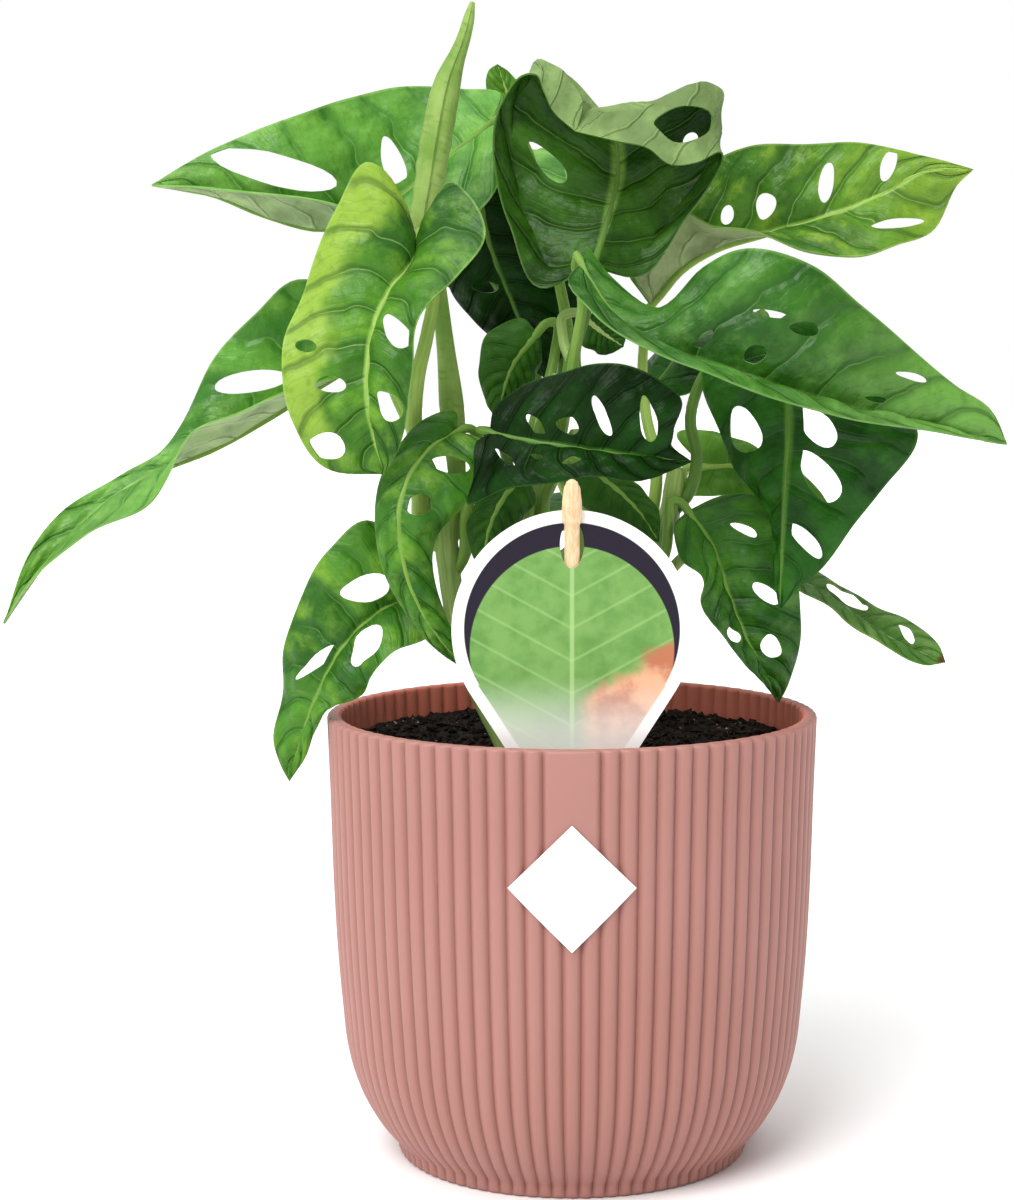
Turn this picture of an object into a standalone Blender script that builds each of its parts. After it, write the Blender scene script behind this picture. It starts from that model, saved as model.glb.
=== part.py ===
"""A Swiss cheese vine (monstera adansonii) growing in a ribbed plastic pot.

The model is in metres with +Z up. Its origin is on the pot's axis at the surface the pot stands on,
+X is to the right and the front of the pot faces -Y. Sizes below are in millimetres and are turned
into metres by MM.

The leaves are drawn from the front. A point of a leaf is written as (across, up, depth): where it is
seen in the upright plane through the pot's axis, and how far behind that plane it lies. The function
place moves such a point along its line of sight, so a leaf keeps its outline from the front at any
depth.
"""
from bisect import bisect_right
from collections import namedtuple
from math import cos, hypot, pi, radians, sin, sqrt

import bmesh
import bpy
from mathutils import Vector
from mathutils.geometry import delaunay_2d_cdt

MM = 0.001

# Where the plant is seen from
EYE_DISTANCE = 784.0
EYE_HEIGHT = 249.0

# Pot
POT_PROFILE = [(49.5, 0.0), (51.8, 1.6), (52.0, 4.2), (55.4, 7.6), (60.4, 14.8), (64.2, 23.0),
               (66.9, 33.5), (68.2, 45.5), (72.0, 131.0)]
RIB_COUNT = 84
RIB_DEPTH = 0.9
PANEL_RIBS = 3
PANEL_BOTTOM = 86.0
PANEL_FADE = 5.0
WALL = 4.3
INNER_RIB_DEPTH = 0.6
INSIDE_HEIGHTS = (45.5, 18.0)
FLOOR_INSIDE = 6.0
FLOOR_INSET = 10.0
RIM_ROUNDING = 0.8

# Soil
SOIL_TOP = 122.0
SOIL_CLEARANCE = 0.5
SOIL_RINGS = 4
SOIL_SIDES = 34
SOIL_SLACK = 1.1
SOIL_BUMP = 0.9
STEM_CLEARANCE = 0.4
HOLE_SHARES = (-0.02, 0.35)

# Label, stake and sticker
LABEL_DEPTH = -54.0
LABEL_TOP = 194.5
LABEL_HALF_WIDTH = 33.0
LABEL_SHOULDER = (14.0, 122.0)
LABEL_FOOT = (7.0, 112.0)
LABEL_SLOT_TOP = (15.6, 130.0)
LABEL_THICKNESS = 0.8
LABEL_HOLE_HEIGHT = 185.0
LABEL_HOLE_WIDTH = 6.6
LABEL_HOLE_LENGTH = 13.0
LABEL_HOLE_POINTS = 16
STAKE_SLOPE = 0.35
STAKE_SIDES = 12
STAKE_BOTTOM = 106.0
STAKE_STATIONS = [(STAKE_BOTTOM, 2.4, 1.6), (140.0, 2.5, 1.6), (178.0, 2.5, 1.5), (181.0, 2.1, 1.1),
                  (190.6, 2.1, 1.1), (191.6, 2.8, 1.5), (195.5, 2.8, 1.7), (199.5, 2.2, 1.6),
                  (202.0, 1.4, 1.1), (203.0, 0.6, 0.5)]
STICKER_HEIGHT = 93.0
STICKER_HALF_DIAGONAL = 17.6
STICKER_THICKNESS = 0.6
STICKER_GAP = 0.35
STICKER_STEPS = 5

# Leaves
BLADE = 0.9
SPACING = 2.2
PLAIN_COLUMN = 0.5
NECK_HALF = 0.9
STALK_RADIUS = 1.4
FOOT_RADIUS = 1.9
STEM_RINGS = 12
STEM_SIDES = 8
FOOT_GAP = 0.4
FOOT_RUN = 9.0
FOOT_APPROACH = 1.2
STALK_SIDES = 6
STALK_RINGS = 9
NECK_LEAD = 3.0
NECK_SHARE = 0.04
STALK_START = 2.2
ROWS = (0.05, 0.12, 0.2, 0.3, 0.4, 0.5, 0.6, 0.7, 0.79, 0.87, 0.95)
HOLE_POINTS = 7
SEARCH_STEPS = 160
OUT_RANGE = (0.12, 0.9)
SHARE_RANGE = (0.04, 0.95)
LOBE_SWEEP = 0.2
FOLD_AT = 0.6
BESIDE_FOLD = 0.46
LEAST_FACING = 0.5
WAVES = 3.4
WIDTH_KNOTS = (0.0, 0.08, 0.3, 0.55, 0.8, 1.0)
WIDTH_SHARES = (0.1, 0.62, 1.0, 0.9, 0.52, 0.0)

# Materials: colour and roughness
COLOURS = {
    "pot": ((0.52, 0.24, 0.20), 0.45),
    "soil": ((0.02, 0.014, 0.01), 0.95),
    "sticker": ((0.85, 0.85, 0.84), 0.4),
    "label": ((0.62, 0.74, 0.45), 0.35),
    "stake": ((0.72, 0.53, 0.33), 0.6),
    "stem": ((0.22, 0.30, 0.08), 0.5),
    "leaf_dark": ((0.035, 0.13, 0.03), 0.4),
    "leaf_mid": ((0.09, 0.24, 0.04), 0.4),
    "leaf_lime": ((0.22, 0.40, 0.05), 0.4),
    "leaf_pale": ((0.34, 0.46, 0.16), 0.5),
}

# Stems: name, thickness at the bottom and at the top, and points (across, up, depth) upwards
Stem = namedtuple("Stem", "name low_radius top_radius points")
STEMS = [
    Stem("stem_left", 3.8, 3.0, [(-17, 106, -17), (-19, 120, -17), (-25, 133, -17), (-31, 147, -16),
                                 (-35, 165, -15), (-37, 185, -14), (-37, 197, -13)]),
    Stem("stem_middle", 3.2, 2.5, [(-1, 106, 4), (-3, 130, 4), (-8, 160, 3), (-11.5, 190, 2),
                                   (-9, 212, 4), (-4, 230, 6)]),
    Stem("stem_right", 3.2, 2.6, [(10, 106, 0), (14, 140, 0), (22, 170, 0), (28.5, 190, 0),
                                  (30.5, 203, 2)]),
    Stem("stem_back", 3.2, 2.6, [(4, 106, 24), (3, 150, 26), (2, 185, 30), (1, 214, 34)]),
]

# Leaves. rib runs from the stalk to the tip. The margins are lists of (share of the rib, across, up),
# right and left as seen on the top face with the tip pointing up. half_width is the true width of
# one half, and what the outline does not show of it is turned away (lean above 0) or nearer
# (lean below 0). A hole is (across, up, length, width, tilt in degrees). A fold is the line along
# which one half turns over, and a hole of its flap is (share, place across, length, width, tilt). The
# stalk runs on from the blade through its points to foot: (stem, height, direction round the stem).
Leaf = namedtuple("Leaf", "name colour rib right left half_width lean right_holes left_holes stalk "
                          "foot arch wave foot_radius right_fold left_fold flap_holes")
LEAVES = []


def leaf(name, colour, rib, right, left, half_width, lean, stalk, foot,
         right_holes=(), left_holes=(), arch=3.0, wave=1.2, foot_radius=FOOT_RADIUS, right_fold=(),
         left_fold=(), flap_holes=()):
    LEAVES.append(Leaf(name, colour, rib, right, left, half_width, lean, right_holes, left_holes,
                       stalk, foot, arch, wave, foot_radius, right_fold, left_fold, flap_holes))


leaf("leaf_front_left", "lime",
     rib=[(-45, 269, -20), (-46, 263, -25), (-53, 254, -32), (-58, 242, -38), (-59.5, 222, -40),
          (-55, 201, -34)],
     right=[(0.05, -51, 284), (0.11, -58, 291), (0.23, -68, 278), (0.4, -77, 256), (0.6, -84, 237),
            (0.77, -81.5, 216), (0.91, -70, 202)],
     left=[(0.05, -37, 284), (0.12, -30, 282), (0.2, -25, 272), (0.32, -33, 259), (0.47, -44.5, 246),
           (0.65, -46.5, 230), (0.85, -50, 210)],
     half_width=31, lean=(0.45, -0.2),
     right_holes=[(-77, 238, 7, 3, -5), (-70, 227.2, 8.5, 5, -5), (-72, 209.5, 11, 8.5, 10)],
     left_holes=[(-50.5, 242, 10, 6.5, -50), (-53, 221, 10, 6.5, -60)],
     stalk=[(-42, 267.5, -15), (-40, 255, -16), (-42, 242, -17), (-45, 229, -16), (-46, 214, -12),
            (-44.5, 203, -12)],
     foot=("stem_left", 186, 180), foot_radius=2.9)

leaf("leaf_upper_left", "mid",
     rib=[(-22, 303, 26), (-34, 294, 27), (-50, 281, 27), (-68, 272, 25), (-84, 274, 21),
          (-102, 281, 17), (-121.5, 284.5, 14)],
     right=[(0.04, -20, 309), (0.15, -32, 312), (0.3, -48, 312.3), (0.45, -64, 309.5),
            (0.6, -79, 304.5), (0.75, -94, 299), (0.88, -108, 292.5)],
     left=[(0.04, -19, 296), (0.12, -22, 283), (0.24, -34, 273), (0.4, -55, 273), (0.55, -70, 280),
           (0.7, -86, 281.5), (0.86, -105, 283.8)],
     half_width=37, lean=(0.5, -0.55),
     right_holes=[(-87, 289, 36, 9.5, -15), (-51.5, 291, 14, 6.5, -68)],
     stalk=[(-14, 297, 27), (-9, 280, 28), (-4, 258, 28), (-1, 241, 23)],
     foot=("stem_middle", 220, 60))

leaf("leaf_far_left", "mid",
     rib=[(-62, 234, 36), (-83, 221, 32), (-100, 210.5, 27), (-116, 204, 21), (-132, 196, 15),
          (-150, 180, 8), (-167, 157, 0)],
     right=[(0.04, -63, 251), (0.12, -77, 257.5), (0.25, -92, 247.5), (0.36, -104.5, 234),
            (0.45, -112, 219), (0.53, -119, 208.5), (0.65, -132, 200.3), (0.8, -150, 189.5),
            (0.92, -161, 174)],
     left=[(0.05, -64, 230.5), (0.15, -80, 226), (0.28, -97, 219.5), (0.4, -111, 212),
           (0.5, -119, 199), (0.6, -126, 191), (0.75, -143, 182.5), (0.9, -159, 169.5)],
     half_width=27, lean=(0.4, -0.7),
     right_holes=[(-94, 227.8, 23, 6, 10)],
     stalk=[(-55, 233, 33), (-52, 225, 25), (-48, 216, 12), (-43, 206, 0)],
     foot=("stem_left", 188, 120), arch=0.8)

leaf("leaf_back_centre", "dark",
     rib=[(-27, 282, 30), (-24, 268, 34), (-17, 250, 38), (-8, 229, 38)],
     right=[(0.08, -34, 284), (0.22, -37.5, 270), (0.4, -35, 254), (0.6, -28, 245.5),
            (0.76, -22, 239.5), (0.9, -13, 232.5)],
     left=[(0.08, -18, 286), (0.2, -8, 278), (0.4, 0, 264), (0.6, 2, 251), (0.8, -1, 239),
           (0.92, -5, 232)],
     half_width=23, lean=(0.3, 0.3),
     right_holes=[(-24.8, 255.8, 7, 3.4, -8)],
     stalk=[(-25, 287, 36), (-17, 281, 45), (-8, 258, 47), (-3, 238, 48)],
     foot=("stem_back", 202, 215))

leaf("leaf_top_cup", "dark",
     rib=[(6, 261, -4), (10.5, 275.5, 4), (13.5, 290, 9), (11.5, 301, 8), (7, 306.5, 1),
          (2.5, 303.5, -7), (1, 299.8, -11)],
     right=[(0.06, 18, 258, -2), (0.2, 33, 275, 2), (0.36, 43, 290, 0), (0.47, 42.5, 294, -7),
            (0.57, 36, 291, -12), (0.67, 28, 290.5, -14), (0.76, 22, 295, -13), (0.87, 13, 297, -12)],
     left=[(0.06, -7, 255, -2), (0.2, -18, 273, 2), (0.34, -22.5, 291, 4), (0.47, -21.5, 305, 4),
           (0.57, -16, 314.5, 0), (0.67, -10.5, 316, -7), (0.79, -8, 311, -11), (0.9, -5, 305, -12)],
     right_fold=[(0.0, 6, 261, -4), (0.1, 15, 261.5, -1), (0.25, 29, 275, 7), (0.4, 40.5, 294, 8),
                 (0.52, 43.4, 305, 6), (0.6, 43, 311, 3), (0.67, 39, 313.3, 0), (0.77, 29, 309.5, -2),
                 (0.85, 20, 306, -4), (0.94, 9, 304.5, -8), (1.0, 1, 299.8, -11)],
     left_fold=[(0.0, 6, 261, -4), (0.1, -3, 258.5, -1), (0.25, -12, 272, 7), (0.4, -17, 290, 10),
                (0.52, -17, 305, 8), (0.61, -13, 315, 5), (0.7, -8.5, 320.5, 1),
                (0.8, -2, 316, -4), (0.9, 2.5, 309, -8), (1.0, 1, 299.8, -11)],
     half_width=34, lean=(0.1, 0.1),
     left_holes=[(-7, 291, 15, 5.5, -45)], right_holes=[(34, 297, 5.5, 4, 60)],
     flap_holes=[(0.68, 0.8, 0.2, 0.2, 0)],
     stalk=[(4.5, 250, -6), (1, 238, -5), (-3, 224, -4)],
     foot=("stem_middle", 206, -95), arch=0.0, foot_radius=2.2)

leaf("leaf_upper_right", "lime",
     rib=[(23, 250, 31), (30, 259, 32), (42, 266.5, 31), (56, 270.5, 29), (72, 275, 27),
          (90, 282, 25), (104, 289, 24), (116, 289, 23)],
     right=[(0.05, 18, 259, 23), (0.12, 26, 275.5, 15), (0.25, 42, 272.5, 9), (0.36, 55, 270, 6),
            (0.48, 69, 266, 6), (0.62, 84, 263.5), (0.72, 94, 267.5), (0.83, 105, 272),
            (0.92, 111, 284)],
     left=[(0.05, 15, 262, 33), (0.12, 24, 280, 35), (0.24, 38, 290), (0.38, 51, 295.5),
           (0.53, 67, 296.3), (0.7, 84, 296.5), (0.85, 101, 293)],
     half_width=27, lean=(-0.9, 0.2),
     left_holes=[(45, 275.8, 5.5, 4, 70), (56, 278.5, 8, 5.5, 70), (73.5, 285, 11, 4.6, 80),
                 (91.3, 290, 9, 4.6, 70)],
     right_holes=[(94, 273.5, 15, 2.6, 4)],
     stalk=[(21, 242, 28), (20.5, 230, 21), (22, 216, 12), (24.5, 206, 6)],
     foot=("stem_right", 188, 150), arch=0.8)

leaf("leaf_right_large", "mid",
     rib=[(3, 262, -22), (9, 251, -28), (21, 240, -34), (45, 231, -38), (75, 221.5, -36),
          (100, 216.5, -28), (127, 209.5, -18)],
     right=[(0.03, -1, 258), (0.1, 5, 249), (0.25, 26, 235.5), (0.45, 52, 226), (0.62, 76, 217.8),
            (0.78, 97, 214.8), (0.9, 113, 212)],
     left=[(0.03, 4, 267), (0.08, 10, 259.5), (0.16, 24, 249), (0.26, 38, 261), (0.38, 52, 266.3),
           (0.5, 70, 261.3), (0.62, 84, 250), (0.75, 99, 237), (0.87, 112, 226.5), (0.95, 123, 218.5)],
     half_width=36, lean=(-0.5, 0.25),
     left_holes=[(67, 243.4, 9, 4, -8), (38, 239.3, 9, 2.6, 50), (53, 235.8, 7.5, 5, 40),
                 (57, 247.6, 10, 2, -8), (98, 229.3, 10, 2.2, -12), (88, 222.8, 7, 2, -15)],
     stalk=[(1, 262, -17), (3, 252, -15), (1.5, 240, -14), (-1, 225, -11)],
     foot=("stem_middle", 198, 0), arch=3.5)

leaf("leaf_right_hanging", "dark",
     rib=[(57, 244, -6), (62, 229, -10), (63, 212, -14), (62, 195, -18), (61.5, 178, -20),
          (61, 161, -22)],
     right=[(0.05, 49, 246), (0.15, 40, 237), (0.28, 38, 227), (0.4, 42.5, 215), (0.54, 47.5, 202.5),
            (0.68, 55, 193.5), (0.78, 58.3, 186), (0.9, 59.3, 172)],
     left=[(0.05, 68, 250), (0.15, 84, 238), (0.3, 97, 220), (0.45, 100.5, 210), (0.6, 91.5, 197.5),
           (0.72, 83, 187), (0.86, 73, 173), (0.94, 66, 167)],
     half_width=37, lean=(0.35, 0.25),
     left_holes=[(71, 214.5, 15, 8, -42), (72, 200, 17, 8.5, -52), (68.3, 181.5, 13, 4.8, -48)],
     right_holes=[(51, 213.5, 15, 8.5, -72)],
     stalk=[(54, 247, 1), (47, 240, 4), (38, 229, 3), (34.5, 217, 2)],
     foot=("stem_right", 196, -10))

leaf("leaf_right_low", "mid",
     rib=[(34, 190, -6), (40.5, 181, -7), (45, 168, -8), (51, 153, -8), (57, 142, -5),
          (61, 133.5, 0)],
     right=[(0.05, 30, 186), (0.12, 31, 178), (0.26, 38, 171), (0.42, 38, 163), (0.6, 44, 153.5),
            (0.78, 52, 143.8), (0.9, 57.5, 138)],
     left=[(0.05, 42, 194), (0.13, 52, 195), (0.28, 62, 187), (0.43, 65.5, 174), (0.58, 67.2, 161),
           (0.74, 66.5, 149), (0.88, 64, 140)],
     half_width=25, lean=(-0.3, 0.3),
     left_holes=[(56.3, 166, 10, 4, -35), (58, 150.5, 7.5, 5.5, -60), (50, 184.6, 9, 2.4, -25)],
     right_holes=[(46.7, 153.5, 5.5, 2.2, -58)],
     stalk=[(29.3, 193.5, -7), (28.3, 187, -7)],
     foot=("stem_right", 171, -70))

leaf("leaf_right_narrow", "pale",
     rib=[(64, 170.5, 22), (75, 165, 20), (85, 158, 17), (95, 151.8, 14), (110, 145.5, 9)],
     right=[(0.08, 65, 168), (0.28, 74, 163), (0.48, 83, 156), (0.68, 93, 149.8), (0.88, 104, 144.6)],
     left=[(0.08, 68, 173), (0.28, 79, 168), (0.48, 88, 162.5), (0.68, 98, 158.2), (0.88, 107.5, 151)],
     half_width=16, lean=(-0.6, 0.6),
     left_holes=[(80.5, 163.7, 15, 2.6, -32), (98.3, 153.6, 7.5, 2.4, -50)],
     stalk=[(54, 174, 19), (43, 181, 14)],
     foot=("stem_right", 160, 30), arch=2.0, wave=0.5)

leaf("leaf_front_centre", "dark",
     rib=[(-24, 213, -31), (-12, 210.5, -37), (2, 208.5, -41), (18, 206.5, -42), (35, 204.5, -38)],
     right=[(0.05, -28, 210), (0.13, -29, 200), (0.2, -31, 192.8), (0.34, -18, 196.5),
            (0.48, -3, 199), (0.63, 8, 200), (0.78, 20, 199), (0.92, 30, 202.3)],
     left=[(0.05, -23, 219), (0.16, -14, 226.5), (0.33, -1, 231), (0.52, 14, 233), (0.68, 26, 228),
           (0.8, 32, 221.5), (0.91, 28.5, 210)],
     half_width=27, lean=(-0.3, 0.4),
     left_holes=[(-0.8, 214.8, 6.5, 5, 0), (22, 217, 13, 5, -80), (9, 218, 12, 3.4, -70),
                 (-10, 214.5, 7, 3.6, -50)],
     right_holes=[(-19, 205, 7, 2, -40), (0, 204, 6, 2.6, 5), (-10, 205.5, 4, 1.8, -30)],
     stalk=[(-22.5, 213, -24), (-19, 205, -14)],
     foot=("stem_middle", 182, 200))

leaf("leaf_left_curl", "mid",
     rib=[(-33, 213.5, -20), (-36.5, 212, -23), (-43, 207, -28), (-50, 194, -34), (-50, 178, -37),
          (-44, 160, -38), (-31, 143, -34)],
     right=[(0.05, -34, 219), (0.14, -43, 217), (0.27, -52.5, 206), (0.42, -57.5, 192.5),
            (0.58, -56.5, 178), (0.74, -51, 163.5), (0.9, -40, 149.5)],
     left=[(0.05, -27.5, 211.5), (0.13, -25, 208), (0.25, -27, 202), (0.38, -30.5, 193),
           (0.5, -38.5, 184.5), (0.64, -41, 174), (0.8, -37.5, 160), (0.92, -33, 150)],
     half_width=24, lean=(0.25, 0.2),
     left_holes=[(-36, 203, 12, 4.6, -12), (-45, 191.7, 8, 6, 15)],
     stalk=[(-28, 213, -15), (-28, 204, -13)],
     foot=("stem_left", 178, -20))

leaf("leaf_lower_left", "mid",
     rib=[(-48, 165, -12), (-58, 159.5, -16), (-67, 150.5, -18), (-74, 138, -17), (-79.5, 124, -13),
          (-83.5, 110, -8)],
     right=[(0.05, -47, 177), (0.15, -58, 187), (0.3, -71, 179), (0.45, -79.5, 165),
            (0.6, -84.3, 150), (0.74, -85.3, 136), (0.86, -88, 122.5), (0.94, -86, 115)],
     left=[(0.05, -43, 160), (0.14, -42, 153.5), (0.28, -52, 149.3), (0.45, -59, 141),
           (0.6, -63.5, 134.8), (0.7, -71, 132), (0.82, -75.5, 126), (0.92, -79, 117)],
     half_width=27, lean=(0.3, -0.35),
     right_holes=[(-61, 167.5, 15, 7.5, 12), (-74.5, 145.8, 15, 3.2, 40)],
     left_holes=[(-60, 150.3, 13.5, 7.5, 62)],
     stalk=[(-42, 168, -12)],
     foot=("stem_left", 156, 180))

leaf("leaf_small_lime", "lime",
     rib=[(38, 203, 16), (50, 203, 19), (62, 199, 21), (75, 192, 23)],
     right=[(0.06, 30, 197.5), (0.14, 32, 195), (0.26, 39, 194.5), (0.4, 48, 194.5),
            (0.6, 60, 192.5), (0.85, 71, 190)],
     left=[(0.06, 31, 211), (0.2, 40, 213.5), (0.4, 50, 210), (0.6, 60, 205.5), (0.85, 71, 197.5)],
     half_width=14, lean=(-0.6, 0.6),
     stalk=[(33, 202, 22), (31, 195, 24), (29.5, 186, 17)],
     foot=("stem_right", 174, 90), arch=2.0)

leaf("leaf_young_top", "lime",
     rib=[(-16, 298, 40), (-18, 308, 41), (-21.5, 319, 41)],
     right=[(0.12, -11, 302), (0.5, -14, 311), (0.8, -18, 316.5)],
     left=[(0.12, -21, 302), (0.5, -24.5, 311), (0.8, -24, 317)],
     half_width=7.5, lean=(0.3, 0.3),
     stalk=[(-14, 286, 50), (-11, 262, 57), (-7, 240, 53)],
     foot=("stem_back", 198, 150), arch=1.0, wave=0.6)

leaf("leaf_small_mid", "mid",
     rib=[(-10, 242, 15), (-17, 233, 14), (-22, 217, 12)],
     right=[(0.1, -14, 246), (0.3, -24, 242), (0.55, -27, 232), (0.8, -25, 222)],
     left=[(0.1, -9, 236), (0.35, -11, 229), (0.6, -16, 223), (0.85, -20, 218)],
     half_width=12, lean=(0.4, 0.4),
     stalk=[(-4.5, 245, 19), (-5, 236, 19), (-8, 224, 14)],
     foot=("stem_middle", 209, 120), arch=1.5)

leaf("leaf_small_centre", "pale",
     rib=[(4, 246, 8), (9, 242, 6), (15, 238, 4)],
     right=[(0.15, 2, 241), (0.45, 6, 237), (0.8, 11, 236)],
     left=[(0.15, 8, 249), (0.45, 13, 245.5), (0.8, 15.5, 241)],
     half_width=8, lean=(0.4, 0.4),
     stalk=[(-2.5, 247, 10), (-2.5, 240, 9)],
     foot=("stem_middle", 220, -20), arch=1.0)

leaf("leaf_low_left", "mid",
     rib=[(-14, 201, -18), (-20, 194, -22), (-24.5, 184, -25), (-26, 172, -26)],
     right=[(0.1, -20, 203), (0.35, -27, 195), (0.6, -30.5, 186), (0.85, -29, 177)],
     left=[(0.1, -11, 195), (0.35, -14.5, 188), (0.6, -19, 181), (0.85, -23, 175)],
     half_width=12, lean=(0.4, 0.3),
     stalk=[(-12, 203, -12)],
     foot=("stem_middle", 176, -100), arch=1.5)

leaf("leaf_low_right", "mid",
     rib=[(4, 203, -16), (13, 196.5, -21), (20, 189.5, -24), (25.5, 181, -25)],
     right=[(0.1, 0, 198), (0.4, 7, 189), (0.75, 18, 183)],
     left=[(0.1, 8, 204), (0.4, 19, 197.5), (0.75, 25.5, 189)],
     half_width=11, lean=(0.3, 0.3),
     stalk=[(0, 205, -10)],
     foot=("stem_middle", 186, -55), arch=1.5)


def back_leaf(name, colour, rib, width, drop, stalk, foot):
    """A leaf at the back: its margins are level with the rib, less a drop."""
    centre = [Vector(point) for point in rib]
    knots = lengths(centre)
    sides = []
    for side in (1, -1):
        margin = []
        for share in (0.05, 0.2, 0.4, 0.6, 0.8):
            middle = spline(knots, centre, share)
            ahead = spline(knots, centre, share + 0.05) - spline(knots, centre, share - 0.05)
            out = Vector((ahead.z, 0, -ahead.x)).normalized()*side
            reach = width*spline(WIDTH_KNOTS, WIDTH_SHARES, share)
            point = middle + out*reach - Vector((0, drop*reach/width, 0))
            if share == 0.05:
                point -= ahead.normalized()*width*LOBE_SWEEP
            margin.append((share, *point))
        sides.append(margin)
    leaf(name, colour, rib, sides[0], sides[1], width, None, stalk, foot)


def lengths(points):
    """Shares of a polyline's length at which its points lie, from 0 to 1."""
    run = [0.0]
    for first, second in zip(points, points[1:]):
        run.append(run[-1] + (second - first).length)
    return [value/run[-1] for value in run]


def spline(knots, points, at):
    """Smooth curve through the points, each passed at its knot."""
    last = len(knots) - 1
    index = min(max(bisect_right(knots, at) - 1, 0), last - 1)

    def slope(i):
        if i == 0:
            return (points[1] - points[0])*(1/(knots[1] - knots[0]))
        if i == last:
            return (points[last] - points[last - 1])*(1/(knots[last] - knots[last - 1]))
        before = knots[i] - knots[i - 1]
        after = knots[i + 1] - knots[i]
        rise_before = (points[i] - points[i - 1])*(1/before)
        rise_after = (points[i + 1] - points[i])*(1/after)
        return (rise_before*after + rise_after*before)*(1/(before + after))

    span = knots[index + 1] - knots[index]
    t = (at - knots[index])/span
    start = points[index]*(2*t**3 - 3*t**2 + 1)
    start_slope = slope(index)*(span*(t**3 - 2*t**2 + t))
    end = points[index + 1]*(3*t**2 - 2*t**3)
    end_slope = slope(index + 1)*(span*(t**3 - t**2))
    return start + start_slope + end + end_slope


def place(across, up, depth):
    """The point at this depth that is seen at (across, up) in the plane through the pot's axis."""
    growth = (EYE_DISTANCE + depth)/EYE_DISTANCE
    return Vector((across*growth, depth, EYE_HEIGHT + (up - EYE_HEIGHT)*growth))


def seen(point):
    """Where a point is seen in the plane through the pot's axis."""
    growth = (EYE_DISTANCE + point.y)/EYE_DISTANCE
    return point.x/growth, EYE_HEIGHT + (point.z - EYE_HEIGHT)/growth


# Objects and materials

def material(name):
    found = bpy.data.materials.get(name)
    if found:
        return found
    colour, roughness = COLOURS[name]
    made = bpy.data.materials.new(name)
    made.use_nodes = True
    shader = made.node_tree.nodes["Principled BSDF"]
    shader.inputs["Base Color"].default_value = (*colour, 1)
    shader.inputs["Roughness"].default_value = roughness
    shader.inputs["Metallic"].default_value = 0.0
    return made


def solid(name, points, faces, colour, smooth_angle=35):
    """A mesh object from points in millimetres."""
    mesh = bpy.data.meshes.new(name)
    mesh.from_pydata([Vector(point)*MM for point in points], [], faces)
    mesh.materials.append(material(colour))
    mesh.shade_smooth()
    mesh.set_sharp_from_angle(angle=radians(smooth_angle))
    made = bpy.data.objects.new(name, mesh)
    bpy.context.scene.collection.objects.link(made)
    return made


def triangulate(target):
    mesh = bmesh.new()
    mesh.from_mesh(target.data)
    bmesh.ops.triangulate(mesh, faces=mesh.faces)
    mesh.to_mesh(target.data)
    mesh.free()


def cut(target, cutters):
    """Cut the cutters out of the target and keep them as hidden guides."""
    group = bpy.data.collections.new(target.name + "_cutters")
    for cutter in cutters:
        cutter.hide_render = True
        cutter.display_type = "WIRE"
        group.objects.link(cutter)
    boolean = target.modifiers.new("holes", "BOOLEAN")
    boolean.operation = "DIFFERENCE"
    boolean.operand_type = "COLLECTION"
    boolean.collection = group
    boolean.solver = "EXACT"


def ring_faces(first, second, closed=True):
    """Quads between two rings of point numbers, outside to the right of the way round."""
    count = len(first)
    faces = []
    for i in range(count if closed else count - 1):
        j = (i + 1) % count
        faces.append((first[i], first[j], second[j], second[i]))
    return faces


def lathe(name, rings, colour, smooth_angle=35):
    """A closed body from rings of points that run from the axis at the bottom, outside, to the top."""
    points = []
    numbers = []
    for ring in rings:
        numbers.append(list(range(len(points), len(points) + len(ring))))
        points.extend(ring)
    faces = [tuple(reversed(numbers[0]))]
    for low, high in zip(numbers, numbers[1:]):
        faces.extend(ring_faces(low, high))
    faces.append(tuple(numbers[-1]))
    return solid(name, points, faces, colour, smooth_angle)


# Pot

def rib_phase(step):
    """Whether a point round the pot lies in a groove, counted in half ribs from the front."""
    return step % 2 == 1


def in_panel(step, total):
    """Whether a point is inside the plain panel at the front."""
    turned = min(step, total - step)
    return turned < PANEL_RIBS


def pot_ring(radius, height, groove, panel=False, inward=False):
    """Points round the pot from the front, one on each crest and one in each groove."""
    total = 2*RIB_COUNT
    points = []
    for step in range(total):
        angle = -pi/2 + 2*pi*step/total
        reach = radius
        if rib_phase(step) and not (panel and in_panel(step, total)):
            reach += groove if inward else -groove
        points.append((reach*cos(angle), reach*sin(angle), height))
    return points


def pot_radius(height):
    """Outer radius of the pot over its ribs."""
    heights = [point[1] for point in POT_PROFILE]
    radii = [point[0] for point in POT_PROFILE]
    return spline(heights, radii, height)


def inner_radius(height):
    """Radius of the inside over its ribs."""
    return pot_radius(height) - WALL


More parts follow.
